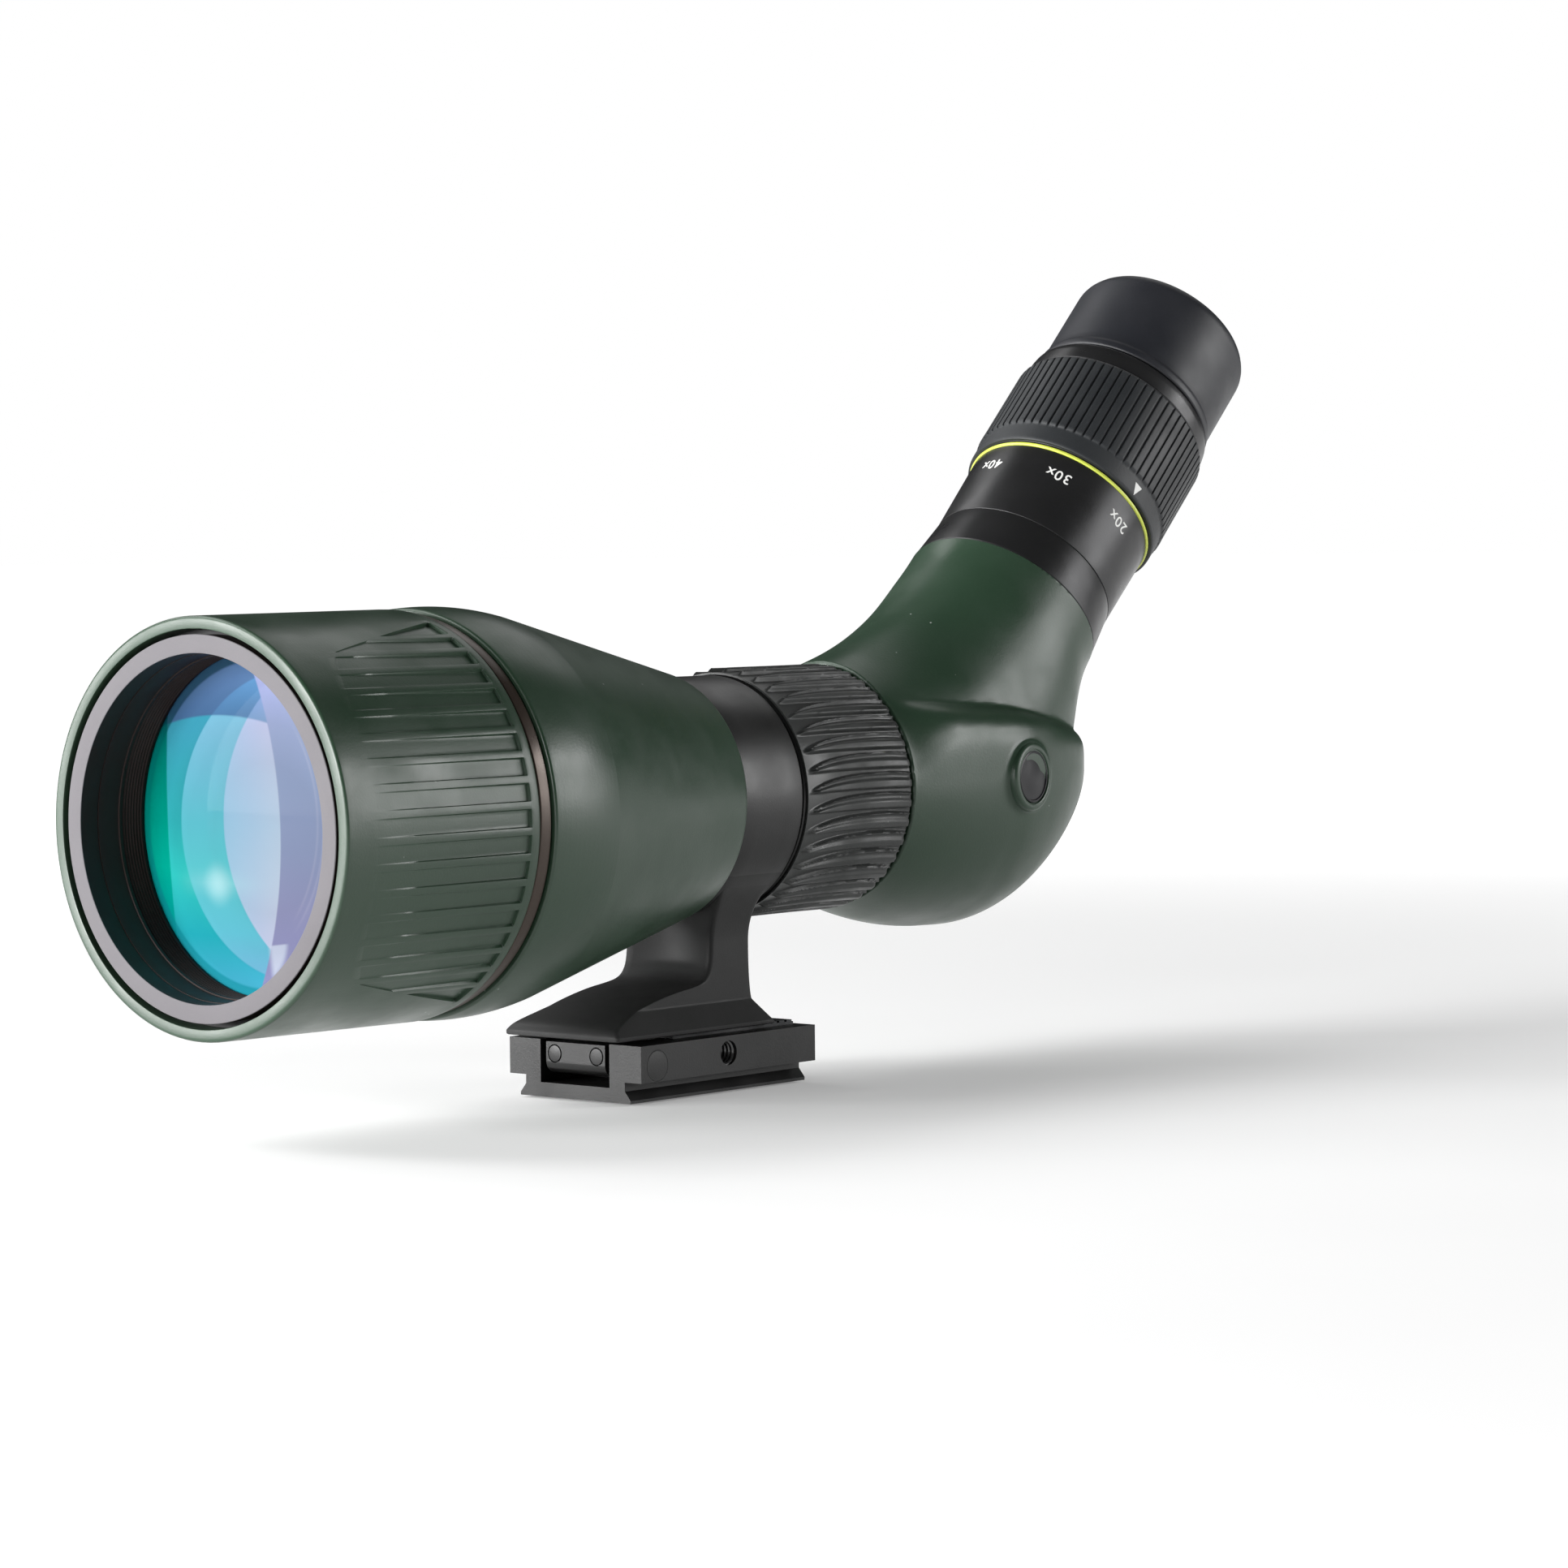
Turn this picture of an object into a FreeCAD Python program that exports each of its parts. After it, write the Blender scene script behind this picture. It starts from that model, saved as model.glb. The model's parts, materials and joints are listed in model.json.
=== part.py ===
import FreeCAD, Part

# An angled 80 mm spotting scope with its rotating collar, foot and quick-release plate.
# Millimetres. +Z is up. The objective looks along -Y, so +X is at the user's left hand.
# The origin is the middle of the quick-release plate's underside.
# Places along the telescope are "stations": distances back from the sunshade's front edge.
# Places along the eyepiece are distances up its own axis from where it crosses the optical axis.

import math
import os

Vector = FreeCAD.Vector

# ---------------------------------------------------------------- driving dimensions
FRONT_Y = -163.0            # station 0, the sunshade's front edge
AXIS_Z = 75.5               # height of the optical axis above the plate's underside
CROSSING = 261.3            # station where the eyepiece axis crosses the optical axis
EYEPIECE_ANGLE = 45.0
RUNNING = 0.05              # radial clearance of every running fit

SHADE_R = 50.0              # sunshade radius at the front edge
SHADE_REAR_R = 50.4
SHADE_BORE_R = 46.95
SHADE_LENGTH = 63.6
FRONT_TUBE_R = 45.5         # the tube that the sunshade slides on
FRONT_BORE_R = 43.0
TRIM_BORE_R = 41.25         # thread crest inside the front trim ring
LENS_R = 41.5

GRIP_CENTRE_DEG = 4.8       # middle of each side grip, above the horizontal
GRIP_BARS = 18
GRIP_PITCH_DEG = 7.06
GRIP_BAR_DEG = 5.0
GRIP_DEPTH = 0.9
GRIP_FRONT = 9.4
GRIP_REAR = 60.6
GRIP_CORNER_DEG = 50.6
GRIP_CORNER_FRONT = 18.2
GRIP_DIAGONAL = 2.92        # mm of station per degree beyond the corner

GROOVE_RING_R = 49.5
SHOULDER_R = 50.6
CONE_START = 93.0
CONE_START_R = 49.2
CONE_END = 158.8
CONE_END_R = 32.9
CONE_WALL = 2.2
COLLAR_FRONT = 160.6
COLLAR_REAR = 183.4
COLLAR_R = 31.1
LINER_R = 29.0
KNOB_STATION = 172.0
KNOB_X = 37.2               # where the collar's lock knob begins, out from the optical axis
KNOB_R = 10.5
KNOB_FLUTES = 12
STUD_R = 2.5
SHOE_R = 4.1
JOURNAL_R = 28.0            # the barrel's rear neck, inside the collar and the focus ring
NECK_BORE_R = 25.0
GUIDE_BORE_R = 23.0

FOCUS_FRONT = 184.3
FOCUS_REAR = 227.2
FOCUS_CORE_R = 31.2
FOCUS_RUBBER_R = 32.5
FOCUS_RIB_R = 33.1
FOCUS_RIBS = 38

HOUSING_FRONT = 227.8
FLANGE_R = 32.4
WALL = 3.0
POD_STATION = 273.0         # where the prism housing's rear pod is fullest
POD_TIP = 325.0
POD_HALF_WIDTH = 37.0
POD_BELOW = 42.4            # the fullest section, below and above its own middle
POD_ABOVE = 35.0
POD_LIFT = 2.0              # that middle above the optical axis
BADGE_STATION = 272.5
BADGE_R = 7.3
BADGE_X = 38.4
BADGE_RISE = 1.5            # the badge's middle above the optical axis
LUG_ANGLES = (30, 150, 270)
LUG_LOW_R = 22.2
SCREW_CIRCLE_R = 24.5
SCREW_R = 1.5
BRACKET_REAR = 243.5
FRONT_WALL_REAR = 236.0     # the housing's solid front wall ends here
BARREL_END_R = 27.0
SPIGOT_R = 24.0             # the eyepiece mount ring's seat in the neck

NECK_TOP = 65.3             # end of the painted housing along the eyepiece axis
NECK_TOP_R = 28.7
MOUNT_RING_TOP = 78.5
SCALE_R = 27.2
LIME_LOW = 103.2
LIME_TOP = 104.4
ZOOM_LOW = 104.6
ZOOM_TOP = 144.6
ZOOM_RUBBER_TOP = 138.2
ZOOM_CORE_R = 28.1
ZOOM_RUBBER_R = 29.5
ZOOM_RIBS = 68
ZOOM_SLOT_DEG = 197.0
ZOOM_PIN_DEG = ZOOM_SLOT_DEG - 6.0   # where the link pin stands at lowest power
EYE_TUBE_R = 24.95          # the fixed tube that the zoom ring turns on
CAM_BORE_R = 20.0
ZOOM_LENS_R = 16.0
EYECUP_LOW = 145.4
EYECUP_TOP = 176.0
EYECUP_LOW_R = 27.3
EYECUP_R = 26.6

PLATE_HALF_WIDTH = 22.7
PLATE_FRONT = 128.8
PLATE_REAR = 197.1
PLATE_TOP_Z = 14.8
SLAB_LOW_Z = 5.4
DOVETAIL_HALF = 19.0
DOVETAIL_NECK_HALF = 17.1
CHANNEL_HALF = 11.9
PAD_THICK = 1.2
PAD_GROOVES = 16
FOOT_Z = PLATE_TOP_Z + PAD_THICK
FOOT_FRONT = 123.7
FOOT_HALF = 19.6
FOOT_NECK_HALF = 15.0
QUARTER_INCH_R = 3.175      # 1/4"-20 thread, crest radius of the screw
SCREW_STATION = 158.0
FLAP_PIN_STATION = 135.0
FLAP_PIN_Z = 9.5
FLAP_PIN_R = 1.5
THREAD_STATION = 162.5      # the accessory thread in the plate's side
THREAD_Z = 10.4
FLAP_STUD_X = 7.2
FLAP_STUD_R = 2.3
FLAP_STUD_Z = 11.3


# ---------------------------------------------------------------- helpers
def outline(points):
    """A closed outline in the station-radius plane. Four numbers mean an arc: middle, then end."""
    edges = []
    last = Vector(0, points[0][0], points[0][1])
    for point in points[1:] + [points[0]]:
        end = Vector(0, point[-2], point[-1])
        if len(point) == 4:
            middle = Vector(0, point[0], point[1])
            edges.append(Part.Arc(last, middle, end).toShape())
        elif (end - last).Length > 1e-7:
            edges.append(Part.LineSegment(last, end).toShape())
        last = end
    return Part.Face(Part.Wire(edges))


def turned(points):
    """The outline turned once round the local +Y axis."""
    return outline(points).revolve(Vector(0, 0, 0), Vector(0, 1, 0), 360)


def ring(low, high, r_in, r_out):
    return turned([(low, r_in), (high, r_in), (high, r_out), (low, r_out)])


def disc(low, high, radius):
    return Part.makeCylinder(radius, high - low, Vector(0, low, 0), Vector(0, 1, 0))


def on_barrel(shape):
    """Moves a shape drawn round local +Y onto the optical axis."""
    moved = shape.copy()
    moved.translate(Vector(0, FRONT_Y, AXIS_Z))
    return moved


def on_eyepiece(shape):
    """Moves a shape drawn round local +Y onto the inclined eyepiece axis."""
    moved = shape.copy()
    moved.rotate(Vector(0, 0, 0), Vector(1, 0, 0), EYEPIECE_ANGLE)
    moved.translate(Vector(0, FRONT_Y + CROSSING, AXIS_Z))
    return moved


def turned_about_y(shape, degrees):
    moved = shape.copy()
    moved.rotate(Vector(0, 0, 0), Vector(0, 1, 0), degrees)
    return moved


def block(x0, x1, station0, station1, z0, z1):
    """A box in the part's own frame, with its length given in stations."""
    corner = Vector(x0, FRONT_Y + station0, z0)
    return Part.makeBox(x1 - x0, station1 - station0, z1 - z0, corner)


def extruded_x(points, x0, x1):
    """A side outline of (station, z) points, extruded across the scope."""
    path = [Vector(x0, FRONT_Y + s, z) for s, z in points]
    face = Part.Face(Part.makePolygon(path + [path[0]]))
    return face.extrude(Vector(x1 - x0, 0, 0))


def sag(radius, height):
    """How far a sphere of this radius falls away at this height from its pole."""
    return radius - math.sqrt(radius * radius - height * height)


def lens(front, rear, rim_r, front_curve, rear_curve):
    """A lens with its poles at front and rear. A positive curve bulges towards the front."""
    front_rim = front + math.copysign(sag(abs(front_curve), rim_r), front_curve)
    rear_rim = rear + math.copysign(sag(abs(rear_curve), rim_r), rear_curve)
    half = rim_r / 2
    front_half = front + math.copysign(sag(abs(front_curve), half), front_curve)
    rear_half = rear + math.copysign(sag(abs(rear_curve), half), rear_curve)
    return turned([(front, 0), (front_half, half, front_rim, rim_r), (rear_rim, rim_r),
                   (rear_half, half, rear, 0)])


def ribs_between(count, low, high, r_in, r_out, share):
    """Cutters for the gaps between straight ribs round a grip ring."""
    gap_deg = 360.0 / count * share
    face = outline([(low, r_in), (high, r_in), (high, r_out), (low, r_out)])
    one = face.revolve(Vector(0, 0, 0), Vector(0, 1, 0), gap_deg)
    return [turned_about_y(one, 360.0 * i / count) for i in range(count)]


# ---------------------------------------------------------------- sunshade
def grip_front(angle_deg):
    """Station where a grip bar begins, by its angle from the middle of the grip."""
    away = abs(angle_deg)
    if away > GRIP_CORNER_DEG:
        return GRIP_CORNER_FRONT + (away - GRIP_CORNER_DEG) * GRIP_DIAGONAL
    return GRIP_FRONT + (GRIP_CORNER_FRONT - GRIP_FRONT) * (away / GRIP_CORNER_DEG) ** 4


def grip_cutter(angle_deg):
    """One shallow bar that runs out to nothing at its front end. It is cut on the +X side."""
    front = grip_front(angle_deg)
    face = outline([(front, SHADE_R + 0.1), (GRIP_REAR, SHADE_REAR_R - GRIP_DEPTH),
                    (GRIP_REAR, SHADE_R + 3), (front, SHADE_R + 3)])
    bar = face.revolve(Vector(0, 0, 0), Vector(0, 1, 0), GRIP_BAR_DEG)
    return turned_about_y(bar, 90 - GRIP_CENTRE_DEG - angle_deg - GRIP_BAR_DEG / 2)


def make_sunshade():
    lip = 1.5
    tube = turned([(0.8, SHADE_BORE_R), (0, SHADE_BORE_R + 0.6), (0, SHADE_R - lip),
                   (0.44, SHADE_R - 0.44, lip, SHADE_R), (SHADE_LENGTH - 0.5, SHADE_REAR_R),
                   (SHADE_LENGTH, SHADE_REAR_R - 0.5), (SHADE_LENGTH, SHADE_BORE_R)])
    cutters = []
    for i in range(GRIP_BARS):
        angle = (i - (GRIP_BARS - 1) / 2) * GRIP_PITCH_DEG
        right = grip_cutter(angle)
        cutters.append(right)
        cutters.append(right.mirror(Vector(0, 0, 0), Vector(1, 0, 0)))
    return on_barrel(tube.cut(cutters))


def make_shade_bushing():
    return on_barrel(ring(55, 62.5, FRONT_TUBE_R + RUNNING, SHADE_BORE_R))


def make_shade_guide_ring():
    return on_barrel(ring(6.5, 12, FRONT_TUBE_R, SHADE_BORE_R - RUNNING))


# ---------------------------------------------------------------- objective
def make_front_trim_ring():
    return on_barrel(turned([(0.7, TRIM_BORE_R), (0.5, TRIM_BORE_R + 0.2), (0.5, FRONT_TUBE_R - 0.2),
                             (0.7, FRONT_TUBE_R), (6, FRONT_TUBE_R), (6, TRIM_BORE_R)]))


def make_front_baffle():
    """The black stepped ring between the trim ring and the front lens."""
    land_r = 42.0
    groove_r = 42.5
    rear_r = 40.6
    steps = [(6, land_r)]
    for i in range(6):
        start = 7 + 2 * i
        steps += [(start, land_r), (start, groove_r), (start + 1, groove_r), (start + 1, land_r)]
    steps += [(20.2, land_r), (20.2, rear_r), (21.0, rear_r), (21.6, 41.0)]
    steps += [(21.6, FRONT_BORE_R), (6, FRONT_BORE_R)]
    return on_barrel(turned(steps))


def make_objective_cell():
    return on_barrel(turned([(21.6, LENS_R), (38.4, LENS_R), (38.4, 38.5), (41, 38.5),
                             (41, FRONT_BORE_R), (21.6, FRONT_BORE_R)]))


def make_objective_front_lens():
    return on_barrel(lens(17.9, 30.6, LENS_R, 260, -330))


def make_objective_spacer():
    return on_barrel(ring(28.4, 29.3, 40.3, LENS_R))


def make_objective_rear_lens():
    return on_barrel(lens(32.0, 35.6, LENS_R, -320, -1400))


def make_objective_o_ring():
    torus = Part.makeTorus(42.2, 0.65, Vector(0, 42.0, 0), Vector(0, 1, 0))
    return on_barrel(torus)


def make_objective_lock_ring():
    return on_barrel(ring(35.1, 38.4, 39.2, LENS_R))


def make_objective_barrel():
    shell = turned([(6, FRONT_BORE_R), (6, FRONT_TUBE_R), (68.9, FRONT_TUBE_R), (68.9, 50.0),
                    (69.4, 50.45), (82, 51.0, CONE_START, CONE_START_R), (CONE_END, CONE_END_R),
                    (160.0, 32.3, 160.3, 31.2), (160.3, JOURNAL_R), (227, JOURNAL_R), (227, 27),
                    (236, 27), (236, NECK_BORE_R), (CONE_END - 2, NECK_BORE_R + 3),
                    (CONE_START, CONE_START_R - CONE_WALL), (80, 47.6), (72, 47.0), (66, FRONT_BORE_R)])
    return on_barrel(shell.cut(focus_pin_slot()))


def make_groove_ring():
    return on_barrel(turned([(64.5, FRONT_TUBE_R), (64.5, GROOVE_RING_R - 0.3), (64.8, GROOVE_RING_R),
                             (68.3, GROOVE_RING_R), (68.6, GROOVE_RING_R - 0.3), (68.6, FRONT_TUBE_R)]))


def make_barrel_baffles():
    """Two thin light stops standing in the cone."""
    wall_r = CONE_START_R - CONE_WALL
    taper = (wall_r - NECK_BORE_R - 3) / (CONE_END - 2 - CONE_START)
    stops = []
    for station, r_in in ((100, 32), (130, 27)):
        r_out = wall_r - (station - CONE_START) * taper
        stop = turned([(station, r_in), (station + 1, r_in), (station + 1, r_out - taper - 0.02),
                       (station, r_out - 0.02)])
        stops.append(on_barrel(stop))
    return Part.makeCompound(stops)


# ---------------------------------------------------------------- focusing
def make_focus_guide_tube():
    tube = ring(176, 234, GUIDE_BORE_R, NECK_BORE_R)
    return on_barrel(tube.cut(focus_pin_slot()))


def focus_pin_slot():
    """The straight slot that keeps the follower from turning."""
    return Part.makeBox(4.4, 30, 10, Vector(-2.2, 191, 20))


def focus_pin_shape():
    return Part.makeCylinder(2.0, 8.6, Vector(0, 206, 20.6), Vector(0, 0, 1))


def make_focus_cell():
    cell = ring(198, 214, 19.5, GUIDE_BORE_R - RUNNING)
    return on_barrel(cell.cut(focus_pin_shape()))


def make_focus_lens():
    return on_barrel(lens(203, 206.5, 19.5, -90, 120))


def make_focus_pin():
    """The follower: it goes through the straight slot into the focus ring's groove."""
    return on_barrel(focus_pin_shape())


def make_focus_core():
    bore = JOURNAL_R + RUNNING
    return on_barrel(turned([(FOCUS_FRONT, bore), (189.5, bore), (189.5, 29.8), (222.5, 29.8),
                             (222.5, bore), (FOCUS_REAR, bore), (FOCUS_REAR, FOCUS_CORE_R),
                             (FOCUS_FRONT + 0.8, FOCUS_CORE_R), (FOCUS_FRONT, FOCUS_CORE_R - 0.8)]))


def make_focus_rubber():
    front = FOCUS_FRONT + 0.9
    rear = FOCUS_REAR - 0.3
    sleeve = turned([(front, FOCUS_CORE_R), (rear, FOCUS_CORE_R), (rear, FOCUS_RUBBER_R),
                     (rear - 1, FOCUS_RIB_R), (front + 2, FOCUS_RIB_R), (front, FOCUS_RUBBER_R - 0.3)])
    gaps = ribs_between(FOCUS_RIBS, front - 1, rear - 1.5, FOCUS_RUBBER_R, FOCUS_RIB_R + 2, 0.4)
    return on_barrel(sleeve.cut(gaps))


# ---------------------------------------------------------------- prism housing
def section(centre, across, up, half_across, below, above):
    """A closed oval section through sixteen evenly spaced points, with its own height each way."""
    count = 16
    points = []
    for i in range(count):
        angle = 2 * math.pi * i / count
        rise = math.sin(angle)
        half_height = above if rise > 0 else below
        points.append(centre + across * (half_across * math.cos(angle)) + up * (half_height * rise))
    curve = Part.BSplineCurve()
    curve.interpolate(Points=points, PeriodicFlag=True)
    return Part.Wire(curve.toShape())


def swelling(station, full, power, root):
    """A pod half size at a station: it swells from the flange to full and closes at the tip."""
    if station < POD_STATION:
        before = (POD_STATION - station) / (POD_STATION - HOUSING_FRONT)
        return full - (full - FLANGE_R + 0.2) * before ** 2
    beyond = (station - POD_STATION) / (POD_TIP - POD_STATION)
    return full * (1 - beyond ** power) ** (1 / root)


def make_pod(inset):
    """The rear pod as a loft of upright oval sections, closed at its tip."""
    sections = []
    stations = [HOUSING_FRONT + 9.04 * i for i in range(10)] + [315.5, 320.5, 323.4]
    for station in stations:
        grown = min(1.0, (station - HOUSING_FRONT) / 40)
        half_width = swelling(station, POD_HALF_WIDTH, 1.6, 2.7)
        below = swelling(station, POD_BELOW, 2.0, 1.35)
        above = swelling(station, POD_ABOVE, 2.2, 2.0)
        centre = Vector(0, station, POD_LIFT * grown)
        sections.append(section(centre, Vector(1, 0, 0), Vector(0, 0, 1),
                                half_width - inset, below - inset, above - inset))
    tip = Part.Vertex(Vector(0, POD_TIP - inset, POD_LIFT))
    return Part.makeLoft(sections + [tip], True, False)


def make_neck(inset):
    """The inclined neck, from inside the pod up to the eyepiece, flaring forward into the barrel line."""
    # distance up the eyepiece axis, half width, half depth, shift towards the rear
    shape = [(-6, 32.4, 43.0, -8.0), (10, 31.6, 44.0, 2.0), (24, 30.6, 41.0, 5.0), (38, 29.8, 37.3, 5.2),
             (52, 29.2, 31.4, 1.6), (60, 28.8, 29.2, 0.3), (NECK_TOP, NECK_TOP_R, NECK_TOP_R, 0)]
    across = Vector(1, 0, 0)
    up = Vector(0, 0, 1)
    sections = []
    for height, half_width, half_depth, shift in shape:
        centre = Vector(0, height, -shift)
        depth = half_depth - inset
        sections.append(section(centre, across, up, half_width - inset, depth, depth))
    return on_eyepiece(Part.makeLoft(sections, True, False))


def badge_disc(radius, start_x, length, side):
    """A disc on one cheek of the housing, standing across the scope."""
    base = Vector(side * start_x, FRONT_Y + BADGE_STATION, AXIS_Z + BADGE_RISE)
    return Part.makeCylinder(radius, length, base, Vector(side, 0, 0))


def housing_cavity():
    """The room for the prism, kept clear of the flange and of the mount ring's seat."""
    inner = on_barrel(make_pod(WALL)).fuse(make_neck(WALL))
    behind_wall = block(-80, 80, FRONT_WALL_REAR, 400, 0, 300)
    return inner.common(behind_wall).cut(on_eyepiece(disc(48, 100, 60)))


def bracket_lugs(cavity):
    """The three lugs that the prism bracket is screwed to."""
    lugs = []
    for angle in LUG_ANGLES:
        lug = Part.makeBox(8, 5, 12, Vector(-4, BRACKET_REAR, LUG_LOW_R))
        lugs.append(on_barrel(turned_about_y(lug, angle - 90)).common(cavity))
    return lugs


def screw_hole(radius, start, length, angle):
    """A cylinder at one of the bracket's screw places."""
    hole = Part.makeCylinder(radius, length, Vector(0, start, SCREW_CIRCLE_R), Vector(0, 1, 0))
    return turned_about_y(hole, angle - 90)


def make_prism_housing():
    shell = on_barrel(make_pod(0)).fuse(make_neck(0))
    shell = shell.fuse(on_barrel(disc(HOUSING_FRONT, HOUSING_FRONT + 1.6, FLANGE_R)))
    for side in (-1, 1):
        shell = shell.fuse(badge_disc(BADGE_R + 2.2, BADGE_X - 8, 8, side))
    shell = shell.cut(block(-80, 80, 150, HOUSING_FRONT, 0, 200))
    cavity = housing_cavity()
    shell = shell.cut(cavity)
    shell = shell.cut(on_barrel(disc(HOUSING_FRONT - 1, 238, BARREL_END_R)))
    shell = shell.cut(on_eyepiece(disc(40, NECK_TOP + 2, SPIGOT_R)))
    for side in (-1, 1):
        shell = shell.cut(badge_disc(BADGE_R, BADGE_X - 1.5, 1.6, side))
    shell = shell.fuse(bracket_lugs(cavity))
    for angle in LUG_ANGLES:
        shell = shell.cut(on_barrel(screw_hole(SCREW_R, BRACKET_REAR, 5, angle)))
    return shell


def make_side_badges():
    badges = []
    for side in (-1, 1):
        badges.append(badge_disc(BADGE_R - 0.1, BADGE_X - 1.5, 1.2, side))
    return Part.makeCompound(badges)


def make_roof_prism():
    """A Schmidt roof prism: faces square to both axes, and a roof over the long rear face."""
    entry = 248.0
    exit_height = 9.0
    side = 44.0
    half_width = 13.5
    slope = math.radians(EYEPIECE_ANGLE)
    bisector = slope / 2
    apex_z = AXIS_Z + exit_height / math.cos(slope) + (CROSSING - entry) * math.tan(slope)
    low_station = entry
    low_z = apex_z - side
    far_station = entry + side * math.sin(slope)
    far_z = apex_z - side * math.cos(slope)
    blunt = 5.0
    solid = extruded_x([(low_station, low_z), (entry, apex_z - blunt), (entry + blunt, apex_z - blunt),
                        (far_station, far_z)], -half_width, half_width)
    # The roof's ridge runs along the long face, two millimetres outside it.
    ridge = Vector(0, FRONT_Y + (low_station + far_station) / 2, (low_z + far_z) / 2)
    outward = Vector(0, math.sin(bisector), -math.cos(bisector))
    wedge = Part.makeBox(60, 60, 120, Vector(0, 0, -60))
    wedge.rotate(Vector(0, 0, 0), Vector(0, 0, 1), 45)
    wedge.rotate(Vector(0, 0, 0), Vector(1, 0, 0), 90 + EYEPIECE_ANGLE / 2)
    wedge.translate(ridge + outward * 2)
    return solid.common(wedge)


def make_prism_bracket():
    plate = ring(BRACKET_REAR - 2, BRACKET_REAR, 17, 26.5)
    for x0 in (-15.5, 13.5):
        plate = plate.fuse(Part.makeBox(2, 28, 26, Vector(x0, BRACKET_REAR, -13)))
    for angle in LUG_ANGLES:
        plate = plate.cut(screw_hole(SCREW_R + 0.1, BRACKET_REAR - 3, 4, angle))
    return on_barrel(plate)


def make_prism_screws():
    screws = []
    for angle in LUG_ANGLES:
        head = screw_hole(2.0, BRACKET_REAR - 3.8, 1.8, angle)
        shank = screw_hole(SCREW_R, BRACKET_REAR - 2, 6.5, angle)
        screws.append(on_barrel(head.fuse(shank)))
    return Part.makeCompound(screws)


# ---------------------------------------------------------------- eyepiece
def make_eyepiece_mount_ring():
    return on_eyepiece(turned([(48.5, 21.5), (48.5, 24), (NECK_TOP, 24), (NECK_TOP, NECK_TOP_R - 0.35),
                               (NECK_TOP + 0.5, NECK_TOP_R - 0.15), (MOUNT_RING_TOP - 0.15, SCALE_R + 0.05),
                               (MOUNT_RING_TOP, SCALE_R - 0.1), (MOUNT_RING_TOP, 21.5)]))


def make_eyepiece_barrel():
    barrel = turned([(MOUNT_RING_TOP, 22.5), (MOUNT_RING_TOP, SCALE_R - 0.1),
                     (MOUNT_RING_TOP + 0.15, SCALE_R + 0.05), (LIME_LOW, SCALE_R + 0.45),
                     (LIME_LOW, EYE_TUBE_R), (141, EYE_TUBE_R), (141, 22.5)])
    slot_face = outline([(119, 20), (123.2, 20), (123.2, 28), (119, 28)])
    slot = slot_face.revolve(Vector(0, 0, 0), Vector(0, 1, 0), ZOOM_SLOT_DEG)
    return on_eyepiece(barrel.cut(slot))


def make_lime_ring():
    return on_eyepiece(turned([(LIME_LOW, EYE_TUBE_R), (LIME_LOW, SCALE_R + 0.5),
                               (LIME_LOW + 0.6, SCALE_R + 0.95, LIME_TOP, SCALE_R + 0.5),
                               (LIME_TOP, EYE_TUBE_R)]))


def make_zoom_core():
    bore = EYE_TUBE_R + RUNNING
    core = turned([(ZOOM_LOW, bore), (ZOOM_LOW, ZOOM_CORE_R), (ZOOM_TOP - 0.5, ZOOM_CORE_R),
                   (ZOOM_TOP, ZOOM_CORE_R - 0.5), (ZOOM_TOP, 26.4), (ZOOM_TOP - 2.6, 26.4),
                   (ZOOM_TOP - 2.6, bore)])
    return on_eyepiece(core.cut(zoom_pin_shape()))


def make_zoom_rubber():
    low = ZOOM_LOW + 0.1
    sleeve = turned([(low, ZOOM_CORE_R), (low, 28.9), (low + 0.5, ZOOM_RUBBER_R - 0.1),
                     (low + 5, ZOOM_RUBBER_R), (ZOOM_RUBBER_TOP - 0.6, ZOOM_RUBBER_R),
                     (ZOOM_RUBBER_TOP, ZOOM_RUBBER_R - 0.6), (ZOOM_RUBBER_TOP, ZOOM_CORE_R)])
    gaps = ribs_between(ZOOM_RIBS, 110.8, ZOOM_RUBBER_TOP - 0.9, ZOOM_RUBBER_R - 0.7,
                        ZOOM_RUBBER_R + 2, 0.28)
    return on_eyepiece(sleeve.cut(gaps))


def make_zoom_cam_sleeve():
    return on_eyepiece(ring(83, 134, CAM_BORE_R, 22.5 - RUNNING).cut(zoom_pin_shape()))


def zoom_pin_shape():
    pin = Part.makeCylinder(1.9, 6.6, Vector(0, 121.1, 21.2), Vector(0, 0, 1))
    return turned_about_y(pin, ZOOM_PIN_DEG)


def make_zoom_link_pin():
    """Ties the zoom ring to the cam sleeve through the arc slot in the eyepiece tube."""
    return on_eyepiece(zoom_pin_shape())


def make_zoom_cell(low):
    return on_eyepiece(ring(low, low + 10, ZOOM_LENS_R, CAM_BORE_R - RUNNING))


def make_zoom_front_cell():
    return make_zoom_cell(88)


def make_zoom_front_lens():
    return on_eyepiece(lens(90.5, 95.5, ZOOM_LENS_R, 70, -90))


def make_zoom_rear_cell():
    return make_zoom_cell(116)


def make_zoom_rear_lens():
    return on_eyepiece(lens(118.5, 123.5, ZOOM_LENS_R, 80, -60))


def make_ocular_housing():
    return on_eyepiece(turned([(141, 20.5), (141, EYE_TUBE_R), (144.3, EYE_TUBE_R), (144.3, 23.5),
                               (163.5, 23.5), (163.5, 18.6), (161, 18.6), (161, 20.5)]))


def make_eye_lens_cell():
    return on_eyepiece(ring(143, 156, 17.5, 20.5))


def make_eye_lens():
    return on_eyepiece(lens(147, 157.5, 17.5, 60, -38))


def make_eye_lens_ring():
    return on_eyepiece(turned([(156, 17.2), (156, 20.5), (160.5, 20.5), (160.5, 18.4)]))


def make_field_stop():
    return on_eyepiece(ring(136, 138, 11.5, 22.5))


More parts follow.
